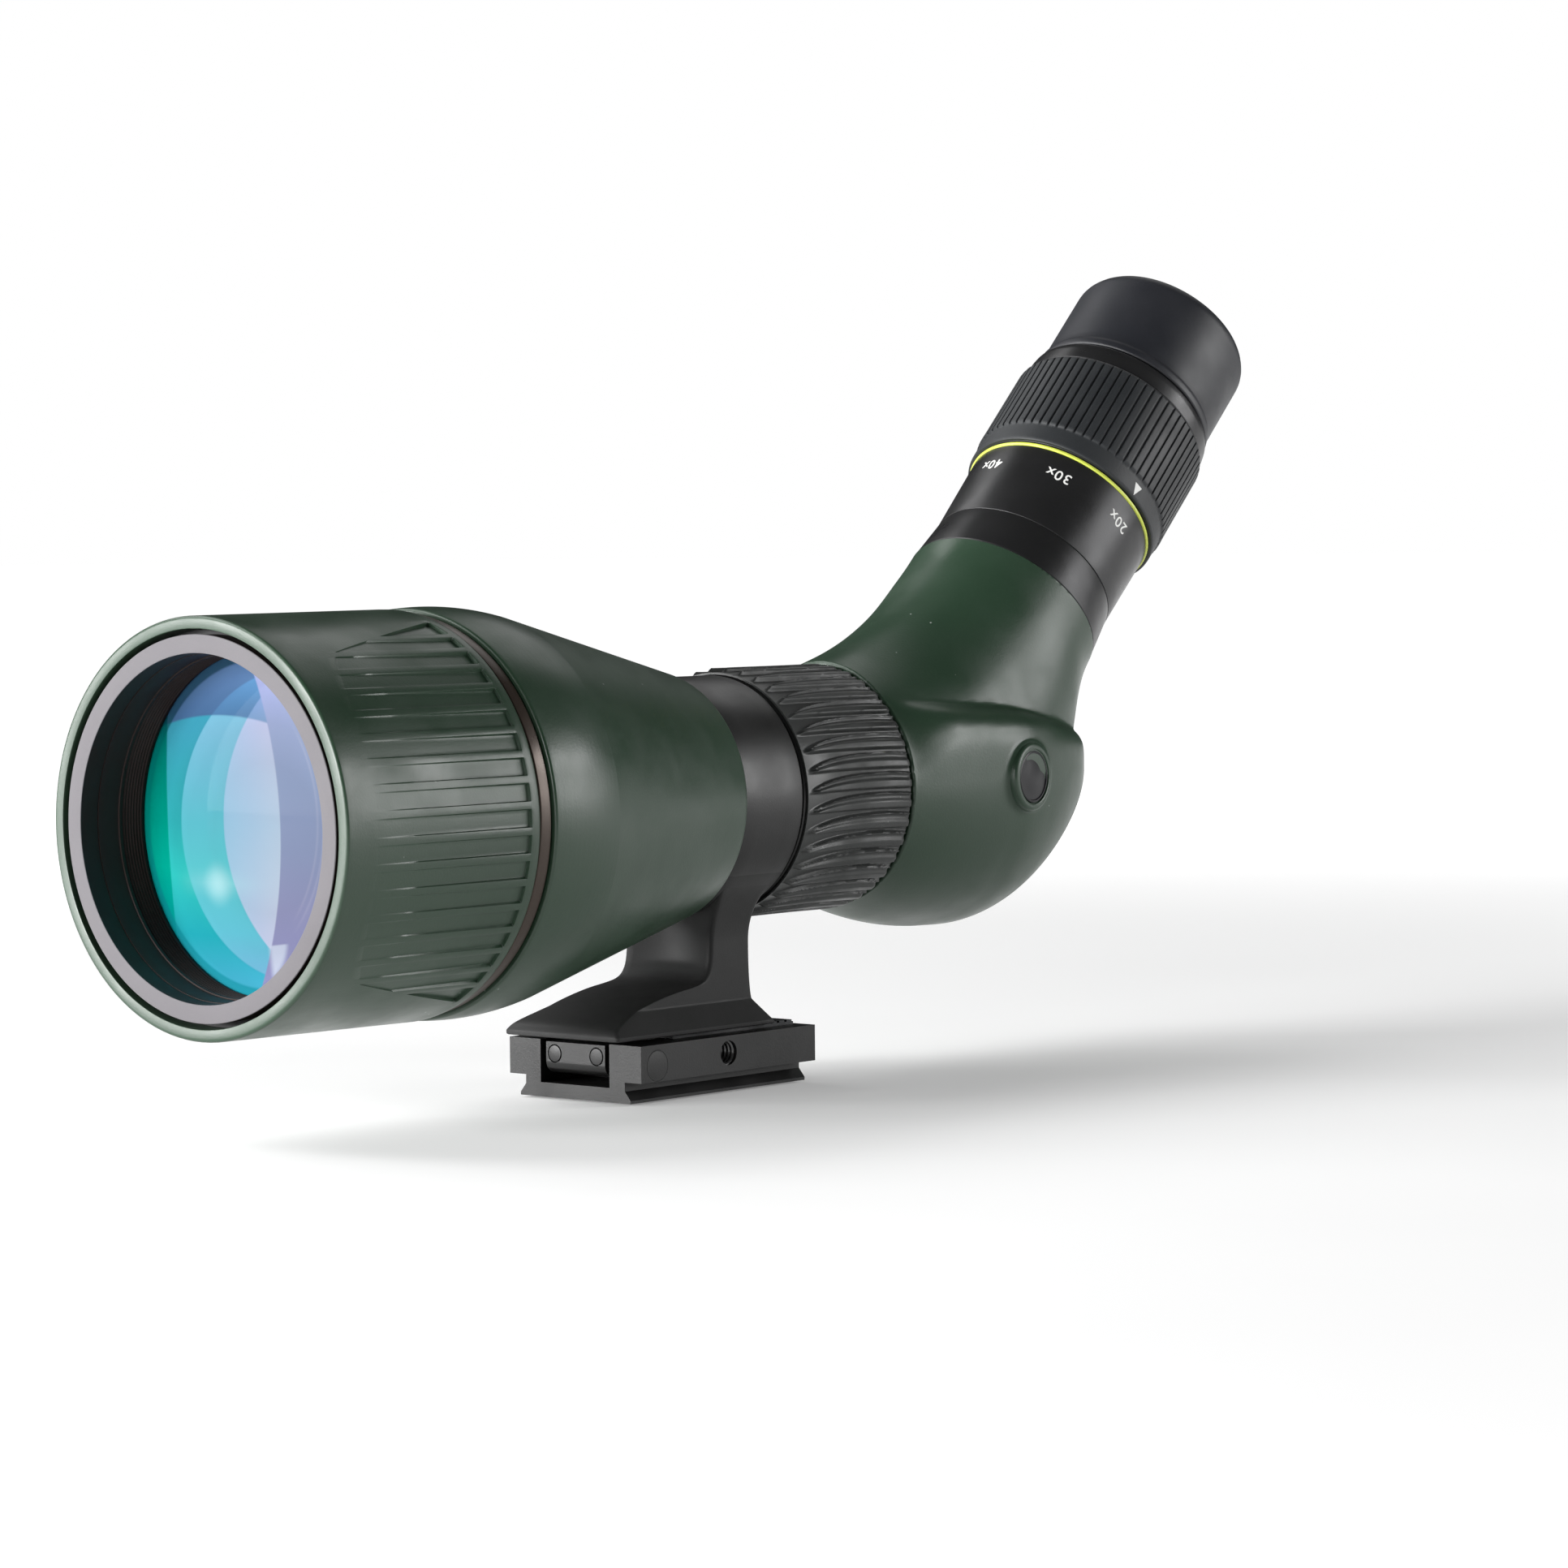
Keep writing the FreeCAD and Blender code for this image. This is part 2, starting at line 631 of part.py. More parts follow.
def make_eyepiece_o_ring():
    return on_eyepiece(Part.makeTorus(21.0, 0.5, Vector(0, 79.5, 0), Vector(0, 1, 0)))


# ---------------------------------------------------------------- eyecup
def make_eyecup_carrier():
    return on_eyepiece(ring(146, 160, 23.5 + RUNNING, 25.0))


def make_eyecup_tube():
    return on_eyepiece(turned([(EYECUP_LOW + 0.3, 25.0 + RUNNING), (EYECUP_LOW + 0.3, 25.9), (172.5, 25.9),
                               (172.5, 23.0), (170.5, 23.0), (170.5, 25.0 + RUNNING)]))


def make_eyecup_rubber():
    straight = EYECUP_LOW + 5
    return on_eyepiece(turned([(EYECUP_LOW, 25.9), (EYECUP_LOW, EYECUP_LOW_R - 0.4),
                               (EYECUP_LOW + 0.5, EYECUP_LOW_R),
                               (EYECUP_LOW + 2.6, 27.1, straight, EYECUP_R), (EYECUP_TOP - 2.5, EYECUP_R),
                               (EYECUP_TOP - 0.7, 25.8, EYECUP_TOP, 23.9),
                               (EYECUP_TOP - 0.4, 21.6, 174.2, 20.2), (172.5, 21.0), (172.5, 25.9)]))


# ---------------------------------------------------------------- collar, foot and lock
def make_tripod_collar():
    band = turned([(COLLAR_FRONT, LINER_R), (COLLAR_FRONT, COLLAR_R - 0.4), (COLLAR_FRONT + 0.4, COLLAR_R),
                   (COLLAR_REAR - 0.4, COLLAR_R), (COLLAR_REAR, COLLAR_R - 0.4), (COLLAR_REAR, LINER_R)])
    side = [(FOOT_FRONT, FOOT_Z), (FOOT_FRONT, FOOT_Z + 1.0), (FOOT_FRONT + 1.2, FOOT_Z + 3.2)]
    side += [(138, 23.6), (149, 26.1), (158.5, 27.2), (161.8, 28.0), (163.8, 29.6), (164.8, 32.0)]
    side += [(165.2, 38.0), (166.5, 43.5), (168.5, 49.0), (168.5, 58), (183.0, 58), (183.0, 49.6)]
    side += [(181.2, 43.7), (180.2, 37.5), (180.3, 29), (181.0, 22.9), (184.2, 17.2), (185.1, FOOT_Z)]
    foot = extruded_x(side, -FOOT_HALF, FOOT_HALF)
    flare = 5.5
    across = [(-FOOT_HALF, FOOT_Z), (-FOOT_HALF, FOOT_Z + 1.1), (-FOOT_NECK_HALF, FOOT_Z + 1.1 + flare),
              (-FOOT_NECK_HALF, 60), (FOOT_NECK_HALF, 60), (FOOT_NECK_HALF, FOOT_Z + 1.1 + flare),
              (FOOT_HALF, FOOT_Z + 1.1), (FOOT_HALF, FOOT_Z)]
    path = [Vector(x, FRONT_Y + 120, z) for x, z in across]
    front_view = Part.Face(Part.makePolygon(path + [path[0]])).extrude(Vector(0, 80, 0))
    foot = foot.common(front_view)
    boss = knob_axis_cylinder(7.5, 28.5, 8)
    casting = on_barrel(band).fuse([foot, boss])
    casting = casting.cut(on_barrel(disc(COLLAR_FRONT - 8, COLLAR_REAR + 4, LINER_R)))
    shoe_hole = knob_axis_cylinder(SHOE_R + 0.1, 27, 6)
    stud_hole = knob_axis_cylinder(STUD_R + RUNNING, 32, 8)
    thread_base = Vector(0, FRONT_Y + SCREW_STATION, FOOT_Z)
    thread = Part.makeCylinder(QUARTER_INCH_R, 8, thread_base, Vector(0, 0, 1))
    return casting.cut([shoe_hole, stud_hole, thread])


def make_collar_liner():
    liner = on_barrel(ring(COLLAR_FRONT + 0.6, COLLAR_REAR - 0.6, JOURNAL_R + RUNNING, LINER_R))
    return liner.cut(knob_axis_cylinder(SHOE_R + 0.1, 25, 6))


def knob_axis_cylinder(radius, start_x, length, across=0.0, up=0.0):
    """A cylinder along the lock knob's axis, running outward on the -X side."""
    base = Vector(-start_x, FRONT_Y + KNOB_STATION + across, AXIS_Z + up)
    return Part.makeCylinder(radius, length, base, Vector(-1, 0, 0))


def make_brake_shoe():
    return knob_axis_cylinder(SHOE_R, JOURNAL_R + 0.1, 2.7)


def make_lock_stud():
    return knob_axis_cylinder(STUD_R, JOURNAL_R + 2.85, 16)


def make_lock_knob():
    length = 13
    body = knob_axis_cylinder(KNOB_R, KNOB_X, length)
    outer_end = -KNOB_X - length
    outer_edges = []
    for edge in body.Edges:
        if edge.BoundBox.XLength < 0.01 and abs(edge.BoundBox.XMin - outer_end) < 0.01:
            outer_edges.append(edge)
    body = body.makeFillet(1.5, outer_edges)
    flute_circle_r = KNOB_R + 0.9
    for i in range(KNOB_FLUTES):
        angle = 2 * math.pi * i / KNOB_FLUTES
        across = flute_circle_r * math.cos(angle)
        up = flute_circle_r * math.sin(angle)
        body = body.cut(knob_axis_cylinder(1.6, KNOB_X - 1, 20, across, up))
    return body.cut(knob_axis_cylinder(STUD_R, KNOB_X, 9.65))


# ---------------------------------------------------------------- quick-release plate
def across_cylinder(radius, start_x, length, station, z):
    """A cylinder across the plate, running towards +X."""
    return Part.makeCylinder(radius, length, Vector(start_x, FRONT_Y + station, z), Vector(1, 0, 0))


def make_plate_body():
    half = [(DOVETAIL_HALF, 0), (DOVETAIL_HALF, 0.8), (DOVETAIL_NECK_HALF, 3.1)]
    half += [(DOVETAIL_NECK_HALF, SLAB_LOW_Z), (PLATE_HALF_WIDTH, SLAB_LOW_Z)]
    half += [(PLATE_HALF_WIDTH, PLATE_TOP_Z)]
    across = half + [(-x, z) for x, z in reversed(half)]
    path = [Vector(x, FRONT_Y + PLATE_FRONT, z) for x, z in across]
    plate = Part.Face(Part.makePolygon(path + [path[0]])).extrude(Vector(0, PLATE_REAR - PLATE_FRONT, 0))
    channel = block(-CHANNEL_HALF, CHANNEL_HALF, PLATE_FRONT - 1, 146.5, 3.7, PLATE_TOP_Z + 1)
    head_recess = Part.makeCylinder(8, 4.2, Vector(0, FRONT_Y + SCREW_STATION, 0), Vector(0, 0, 1))
    shank_hole = Part.makeCylinder(3.4, 20, Vector(0, FRONT_Y + SCREW_STATION, 0), Vector(0, 0, 1))
    side_thread = across_cylinder(QUARTER_INCH_R, PLATE_HALF_WIDTH - 10, 10, THREAD_STATION, THREAD_Z)
    pin_hole = across_cylinder(FLAP_PIN_R, -21, 60, FLAP_PIN_STATION, FLAP_PIN_Z)
    pin_recess = across_cylinder(4.0, PLATE_HALF_WIDTH - 1.2, 2, FLAP_PIN_STATION, FLAP_PIN_Z)
    return plate.cut([channel, head_recess, shank_hole, side_thread, pin_hole, pin_recess])


def make_plate_pads():
    pads = []
    for side in (-1, 1):
        x0 = 5.5 if side > 0 else -16.5
        pad = block(x0, x0 + 11, 148, PLATE_REAR - 1.5, PLATE_TOP_Z, FOOT_Z)
        for i in range(PAD_GROOVES):
            start = 150 + 3 * i
            pad = pad.cut(block(-20, 20, start, start + 1, FOOT_Z - 0.5, FOOT_Z + 1))
        pads.append(pad)
    return Part.makeCompound(pads)


def make_plate_flap():
    """The folded anti-twist flap in the front channel, with a rounded lower edge."""
    half = 10.15
    low, high, front, rear = 6.2, 14.3, PLATE_FRONT + 0.3, 146.0
    flap = block(-half, half, front, rear, low, high)
    lower_edges = [edge for edge in flap.Edges
                   if edge.BoundBox.XLength > 15 and abs(edge.BoundBox.ZMax - low) < 0.01]
    flap = flap.makeFillet(3.0, lower_edges)
    flap = flap.cut(across_cylinder(FLAP_PIN_R, -30, 60, FLAP_PIN_STATION, FLAP_PIN_Z))
    for x in (-FLAP_STUD_X, FLAP_STUD_X):
        flap = flap.cut(flap_stud(x, FLAP_STUD_R + 0.1))
    return flap


def flap_stud(x, radius):
    base = Vector(x, FRONT_Y + PLATE_FRONT + 0.3, FLAP_STUD_Z)
    return Part.makeCylinder(radius, 1.2, base, Vector(0, 1, 0))


def make_flap_studs():
    return Part.makeCompound([flap_stud(x, FLAP_STUD_R) for x in (-FLAP_STUD_X, FLAP_STUD_X)])


def make_flap_pin():
    head = across_cylinder(3.9, PLATE_HALF_WIDTH - 1.2, 1.2, FLAP_PIN_STATION, FLAP_PIN_Z)
    shaft = across_cylinder(FLAP_PIN_R, -21, PLATE_HALF_WIDTH - 1.2 + 21, FLAP_PIN_STATION, FLAP_PIN_Z)
    return head.fuse(shaft)


def make_plate_screw():
    centre_y = FRONT_Y + SCREW_STATION
    head = Part.makeCylinder(7.5, 3.4, Vector(0, centre_y, 0.8), Vector(0, 0, 1))
    shank = Part.makeCylinder(QUARTER_INCH_R, 18.5, Vector(0, centre_y, 4.2), Vector(0, 0, 1))
    slot = Part.makeBox(20, 1.6, 1.4, Vector(-10, centre_y - 0.8, 0))
    return head.cut(slot).fuse(shank)


# ---------------------------------------------------------------- all nodes
NODES = {
    "sunshade": make_sunshade,
    "shade_bushing": make_shade_bushing,
    "shade_guide_ring": make_shade_guide_ring,
    "front_trim_ring": make_front_trim_ring,
    "front_baffle": make_front_baffle,
    "objective_cell": make_objective_cell,
    "objective_front_lens": make_objective_front_lens,
    "objective_spacer": make_objective_spacer,
    "objective_rear_lens": make_objective_rear_lens,
    "objective_lock_ring": make_objective_lock_ring,
    "objective_o_ring": make_objective_o_ring,
    "objective_barrel": make_objective_barrel,
    "groove_ring": make_groove_ring,
    "barrel_baffles": make_barrel_baffles,
    "focus_guide_tube": make_focus_guide_tube,
    "focus_cell": make_focus_cell,
    "focus_lens": make_focus_lens,
    "focus_pin": make_focus_pin,
    "focus_ring_core": make_focus_core,
    "focus_ring_rubber": make_focus_rubber,
    "prism_housing": make_prism_housing,
    "side_badges": make_side_badges,
    "roof_prism": make_roof_prism,
    "prism_bracket": make_prism_bracket,
    "prism_screws": make_prism_screws,
    "eyepiece_mount_ring": make_eyepiece_mount_ring,
    "eyepiece_o_ring": make_eyepiece_o_ring,
    "eyepiece_barrel": make_eyepiece_barrel,
    "lime_ring": make_lime_ring,
    "zoom_ring_core": make_zoom_core,
    "zoom_ring_rubber": make_zoom_rubber,
    "zoom_cam_sleeve": make_zoom_cam_sleeve,
    "zoom_link_pin": make_zoom_link_pin,
    "zoom_front_cell": make_zoom_front_cell,
    "zoom_front_lens": make_zoom_front_lens,
    "zoom_rear_cell": make_zoom_rear_cell,
    "zoom_rear_lens": make_zoom_rear_lens,
    "field_stop": make_field_stop,
    "ocular_housing": make_ocular_housing,
    "eye_lens_cell": make_eye_lens_cell,
    "eye_lens": make_eye_lens,
    "eye_lens_ring": make_eye_lens_ring,
    "eyecup_carrier": make_eyecup_carrier,
    "eyecup_tube": make_eyecup_tube,
    "eyecup_rubber": make_eyecup_rubber,
    "tripod_collar": make_tripod_collar,
    "collar_liner": make_collar_liner,
    "brake_shoe": make_brake_shoe,
    "lock_stud": make_lock_stud,
    "lock_knob": make_lock_knob,
    "plate_body": make_plate_body,
    "plate_pads": make_plate_pads,
    "plate_flap": make_plate_flap,
    "flap_studs": make_flap_studs,
    "flap_pin": make_flap_pin,
    "plate_screw": make_plate_screw,
}


def main():
    os.makedirs("parts", exist_ok=True)
    for name, make in NODES.items():
        shape = make()
        shape.exportStep(f"parts/{name}.step")
        print(name, len(shape.Solids), shape.isValid(), round(shape.Volume))


main()
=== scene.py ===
import json
import math

import bmesh
import bpy
import numpy as np
from mathutils import Matrix, Vector


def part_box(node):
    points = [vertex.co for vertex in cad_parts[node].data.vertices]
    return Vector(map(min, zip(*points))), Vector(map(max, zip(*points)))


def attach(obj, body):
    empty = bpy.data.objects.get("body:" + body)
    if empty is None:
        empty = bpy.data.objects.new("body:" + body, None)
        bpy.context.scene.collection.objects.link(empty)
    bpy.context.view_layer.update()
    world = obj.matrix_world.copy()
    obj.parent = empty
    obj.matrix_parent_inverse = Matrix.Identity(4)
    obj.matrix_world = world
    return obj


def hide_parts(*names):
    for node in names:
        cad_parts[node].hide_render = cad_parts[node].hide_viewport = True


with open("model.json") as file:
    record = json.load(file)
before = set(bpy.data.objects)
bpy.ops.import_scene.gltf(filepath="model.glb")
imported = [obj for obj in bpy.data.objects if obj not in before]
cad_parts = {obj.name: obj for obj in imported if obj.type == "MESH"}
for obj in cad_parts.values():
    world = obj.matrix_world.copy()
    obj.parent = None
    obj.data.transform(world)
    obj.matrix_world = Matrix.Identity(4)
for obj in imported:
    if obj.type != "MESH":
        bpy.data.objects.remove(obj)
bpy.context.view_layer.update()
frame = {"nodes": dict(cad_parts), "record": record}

MM = 0.001

# Stations run back from the hood's front edge, heights up the eyepiece's own axis. Both are in millimetres.
hood_low, hood_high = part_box("sunshade")
FRONT_Y = hood_low.y / MM
AXIS_Z = (hood_low.z + hood_high.z) / 2 / MM
CROSSING = 261.3
SLOPE = math.radians(45)
EYE_ORIGIN = np.array([0.0, FRONT_Y + CROSSING, AXIS_Z])
EYE_AXIS = np.array([0.0, math.cos(SLOPE), math.sin(SLOPE)])
EYE_UP = np.array([0.0, -math.sin(SLOPE), math.cos(SLOPE)])


# ---- mesh helpers
def barrel_points(station, radius, degrees):
    """Places on the optical axis: degrees are above horizontal on the +X side."""
    a = np.radians(degrees)
    return np.stack([radius * np.cos(a), FRONT_Y + station + 0 * a, AXIS_Z + radius * np.sin(a)], -1)


def eyepiece_points(height, radius, degrees):
    """Places on the eyepiece axis: degrees run from +X towards the side that faces the objective."""
    a = np.radians(degrees)
    x = radius * np.cos(a)
    u = radius * np.sin(a)
    h = height + 0 * a
    return EYE_ORIGIN + x[..., None] * np.array([1.0, 0, 0]) + u[..., None] * EYE_UP + h[..., None] * EYE_AXIS


def mark_sharp(mesh, degrees=32):
    bm = bmesh.new()
    bm.from_mesh(mesh)
    bmesh.ops.recalc_face_normals(bm, faces=bm.faces)
    limit = math.radians(degrees)
    for face in bm.faces:
        face.smooth = True
    for edge in bm.edges:
        if len(edge.link_faces) == 2:
            edge.smooth = edge.calc_face_angle(0) < limit
    bm.to_mesh(mesh)
    bm.free()


def placed(name, data):
    obj = bpy.data.objects.new(name, data)
    bpy.context.scene.collection.objects.link(obj)
    return obj


def new_object(name, verts, faces, sharp=32):
    """A mesh object from millimetre points."""
    mesh = bpy.data.meshes.new(name)
    mesh.from_pydata([tuple(v) for v in np.asarray(verts) * MM], [], faces)
    mesh.update()
    if sharp:
        mark_sharp(mesh, sharp)
    return placed(name, mesh)


def loop_faces(cols, rows):
    faces = []
    for i in range(cols):
        k = (i + 1) % cols
        for j in range(rows):
            m = (j + 1) % rows
            faces.append((i * rows + j, i * rows + m, k * rows + m, k * rows + j))
    return faces


def loop_surface(name, points, sharp=32):
    """A closed ring-shaped surface: points is (columns round the axis, rows round the profile, 3)."""
    return new_object(name, points.reshape(-1, 3), loop_faces(*points.shape[:2]), sharp)


def rounded(profile, fillet, steps=4):
    """The closed profile with each corner rounded. A third number in a corner is its own fillet."""
    out = []
    count = len(profile)
    for i in range(count):
        here = np.array(profile[i][:2], float)
        before = np.array(profile[i - 1][:2], float)
        after = np.array(profile[(i + 1) % count][:2], float)
        own = profile[i][2] if len(profile[i]) > 2 else fillet
        a = np.linalg.norm(before - here)
        b = np.linalg.norm(after - here)
        cut = min(own, a * 0.45, b * 0.45)
        if cut < 1e-4:
            out.append(here)
            continue
        start = here + (before - here) / a * cut
        end = here + (after - here) / b * cut
        for t in np.linspace(0, 1, steps):
            out.append(start * (1 - t) ** 2 + here * 2 * t * (1 - t) + end * t * t)
    return np.array(out)


def split_long(profile, longest):
    """Adds points along the profile's long runs."""
    out = []
    for i in range(len(profile)):
        here, after = profile[i], profile[(i + 1) % len(profile)]
        pieces = max(1, int(math.ceil(np.linalg.norm(after - here) / longest)))
        for k in range(pieces):
            out.append(here + (after - here) * k / pieces)
    return np.array(out)


def grid_of(place, rows, columns):
    """The points of a profile's rows, turned about an axis: (columns, rows, 3)."""
    angles = np.arange(columns)[:, None] * 360.0 / columns
    return place(rows[None, :, 0] + 0 * angles, rows[None, :, 1] + 0 * angles, angles + 0 * rows[None, :, 0])


def turned(name, profile, place=barrel_points, fillet=0.15, columns=160, longest=6.0, sharp=32):
    """A turned part from its closed (station, radius) profile."""
    rows = split_long(rounded(profile, fillet), longest)
    return loop_surface(name, grid_of(place, rows, columns), sharp)


def closed_turned(name, profile, place=barrel_points, columns=160):
    """A turned part whose open profile begins and ends on the axis, such as a lens."""
    profile = np.asarray(profile, float)
    rows = len(profile) - 2
    verts = list(grid_of(place, profile[1:-1], columns).reshape(-1, 3))
    zero = np.array([0.0])
    first = len(verts)
    verts.append(place(np.array([profile[0, 0]]), zero, zero)[0])
    verts.append(place(np.array([profile[-1, 0]]), zero, zero)[0])
    faces = []
    for i in range(columns):
        k = (i + 1) % columns
        faces.append((first, i * rows, k * rows))
        faces.append((first + 1, k * rows + rows - 1, i * rows + rows - 1))
        for j in range(rows - 1):
            faces.append((i * rows + j, i * rows + j + 1, k * rows + j + 1, k * rows + j))
    return new_object(name, verts, faces)


def smooth_step(low, high, x):
    t = np.clip((x - low) / (high - low), 0, 1)
    return t * t * (3 - 2 * t)


# ---- materials
def nodes_of(name):
    mat = bpy.data.materials.new(name)
    mat.use_nodes = True
    tree = mat.node_tree
    return mat, tree, tree.nodes["Principled BSDF"]


def noise(tree, source, scale, detail=3.0, roughness=0.5):
    node = tree.nodes.new("ShaderNodeTexNoise")
    node.inputs["Scale"].default_value = scale
    node.inputs["Detail"].default_value = detail
    node.inputs["Roughness"].default_value = roughness
    tree.links.new(source, node.inputs["Vector"])
    return node.outputs["Fac"]


def ramp(tree, source, stops):
    node = tree.nodes.new("ShaderNodeValToRGB")
    while len(node.color_ramp.elements) < len(stops):
        node.color_ramp.elements.new(0.5)
    for element, (place, colour) in zip(node.color_ramp.elements, stops):
        element.position = place
        element.color = (*colour, 1) if len(colour) == 3 else colour
    tree.links.new(source, node.inputs["Fac"])
    return node.outputs["Color"]


def smooth_range(tree, value, low, high, floor=0.0):
    """Rises smoothly from the floor to 1 between two places."""
    node = tree.nodes.new("ShaderNodeMapRange")
    node.interpolation_type = "SMOOTHSTEP"
    tree.links.new(value, node.inputs["Value"])
    node.inputs["From Min"].default_value = low
    node.inputs["From Max"].default_value = high
    node.inputs["To Min"].default_value = floor
    return node.outputs["Result"]


def grey(value):
    return (value, value, value)


def maths(tree, kind, a, b):
    node = tree.nodes.new("ShaderNodeMath")
    node.operation = kind
    for k, value in enumerate((a, b)):
        if isinstance(value, (int, float)):
            node.inputs[k].default_value = value
        else:
            tree.links.new(value, node.inputs[k])
    return node.outputs[0]


def blend_colours(tree, factor, a, b, kind="MIX"):
    node = tree.nodes.new("ShaderNodeMix")
    node.data_type = "RGBA"
    node.blend_type = kind
    for socket, value in ((node.inputs["Factor"], factor), (node.inputs[6], a), (node.inputs[7], b)):
        if isinstance(value, (int, float)):
            socket.default_value = value
        elif isinstance(value, tuple):
            socket.default_value = (*value, 1)
        else:
            tree.links.new(value, socket)
    return node.outputs[2]


def bump(tree, height, distance, strength=1.0, below=None):
    node = tree.nodes.new("ShaderNodeBump")
    node.inputs["Distance"].default_value = distance * MM
    node.inputs["Strength"].default_value = strength
    tree.links.new(height, node.inputs["Height"])
    if below is not None:
        tree.links.new(below, node.inputs["Normal"])
    return node.outputs["Normal"]


def coordinates(tree, tilt=0.0, scale=(1, 1, 1)):
    coord = tree.nodes.new("ShaderNodeTexCoord")
    mapping = tree.nodes.new("ShaderNodeMapping")
    mapping.inputs["Rotation"].default_value = (tilt, 0, 0)
    mapping.inputs["Scale"].default_value = scale
    tree.links.new(coord.outputs["Object"], mapping.inputs["Vector"])
    return mapping.outputs["Vector"]


def textured(name, colour, variation, roughness, grain, grain_depth, metallic=0.0, specks=0.0, tilt=0.0,
             lathe=0.0, sheen=0.0, coat=0.0, specular=0.5, rough_spread=0.08):
    """A paint, rubber, plastic or anodised metal with cloudy colour, fine grain, dust specks and lathe marks."""
    mat, tree, bsdf = nodes_of(name)
    at = coordinates(tree)
    clouds = noise(tree, at, 28.0, 4.0)
    fine = noise(tree, at, grain, 2.0)
    dark = tuple(c * (1 - variation) for c in colour)
    light = tuple(min(1, c * (1 + variation)) for c in colour)
    tone = ramp(tree, clouds, [(0.3, dark), (0.7, light)])
    tone = blend_colours(tree, 0.35, tone, ramp(tree, fine, [(0.3, dark), (0.7, light)]))
    if specks:
        cells = tree.nodes.new("ShaderNodeTexVoronoi")
        cells.inputs["Scale"].default_value = 160.0
        tree.links.new(at, cells.inputs["Vector"])
        rare = noise(tree, at, 75.0, 1.0)
        near = maths(tree, "LESS_THAN", cells.outputs["Distance"], 0.045)
        chosen = maths(tree, "GREATER_THAN", rare, 0.60)
        mask = maths(tree, "MULTIPLY", maths(tree, "MULTIPLY", near, chosen), specks)
        tone = blend_colours(tree, mask, tone, (0.35, 0.38, 0.36))
    tree.links.new(tone, bsdf.inputs["Base Color"])
    spread = ramp(tree, noise(tree, at, 60.0, 5.0),
                  [(0.3, grey(roughness - rough_spread)), (0.7, grey(roughness + rough_spread))])
    tree.links.new(spread, bsdf.inputs["Roughness"])
    normal = bump(tree, fine, grain_depth)
    if lathe:
        turned_at = coordinates(tree, tilt, (0.0, 1.0, 0.0))
        lines = noise(tree, turned_at, 5200.0, 2.0)
        normal = bump(tree, lines, lathe, below=normal)
    tree.links.new(normal, bsdf.inputs["Normal"])
    bsdf.inputs["Metallic"].default_value = metallic
    bsdf.inputs["Specular IOR Level"].default_value = specular
    if sheen:
        bsdf.inputs["Sheen Weight"].default_value = sheen
        bsdf.inputs["Sheen Roughness"].default_value = 0.5
    if coat:
        bsdf.inputs["Coat Weight"].default_value = coat
        bsdf.inputs["Coat Roughness"].default_value = 0.08
    return mat


def from_screen(red, green, blue, gain=1.0):
    """A linear colour from the usual 0-255 numbers."""
    out = []
    for value in (red, green, blue):
        v = value / 255
        out.append(gain * (v / 12.92 if v <= 0.04045 else ((v + 0.055) / 1.055) ** 2.4))
    return tuple(out)


def inner_glass(name):
    """Clear glass with a faint tinted mirror image."""
    mat, tree, bsdf = nodes_of(name)
    at = coordinates(tree)
    tone = ramp(tree, noise(tree, at, 40.0), [(0.3, (0.80, 0.88, 0.86)), (0.7, (0.86, 0.92, 0.9))])
    tree.links.new(tone, bsdf.inputs["Base Color"])
    bsdf.inputs["Transmission Weight"].default_value = 1.0
    bsdf.inputs["Roughness"].default_value = 0.02
    bsdf.inputs["IOR"].default_value = 1.5
    return mat


# The front lens's colour is painted reflection and painted light; LENS_GAIN scales the painted colours.
LENS_GAIN = 0.42
LENS_RIM = 42.0             # half the span that the bands' heights are given over
EVENING = 3.2               # the front of the lens is lit less towards its shaded rim, so its rim is made brighter
EVENING_STOPS = ((0.36, 0.80), (0.54, 0.95), (0.64, 1.13), (0.74, 1.4), (0.80, 1.8), (0.84, 2.3), (0.91, 3.2))


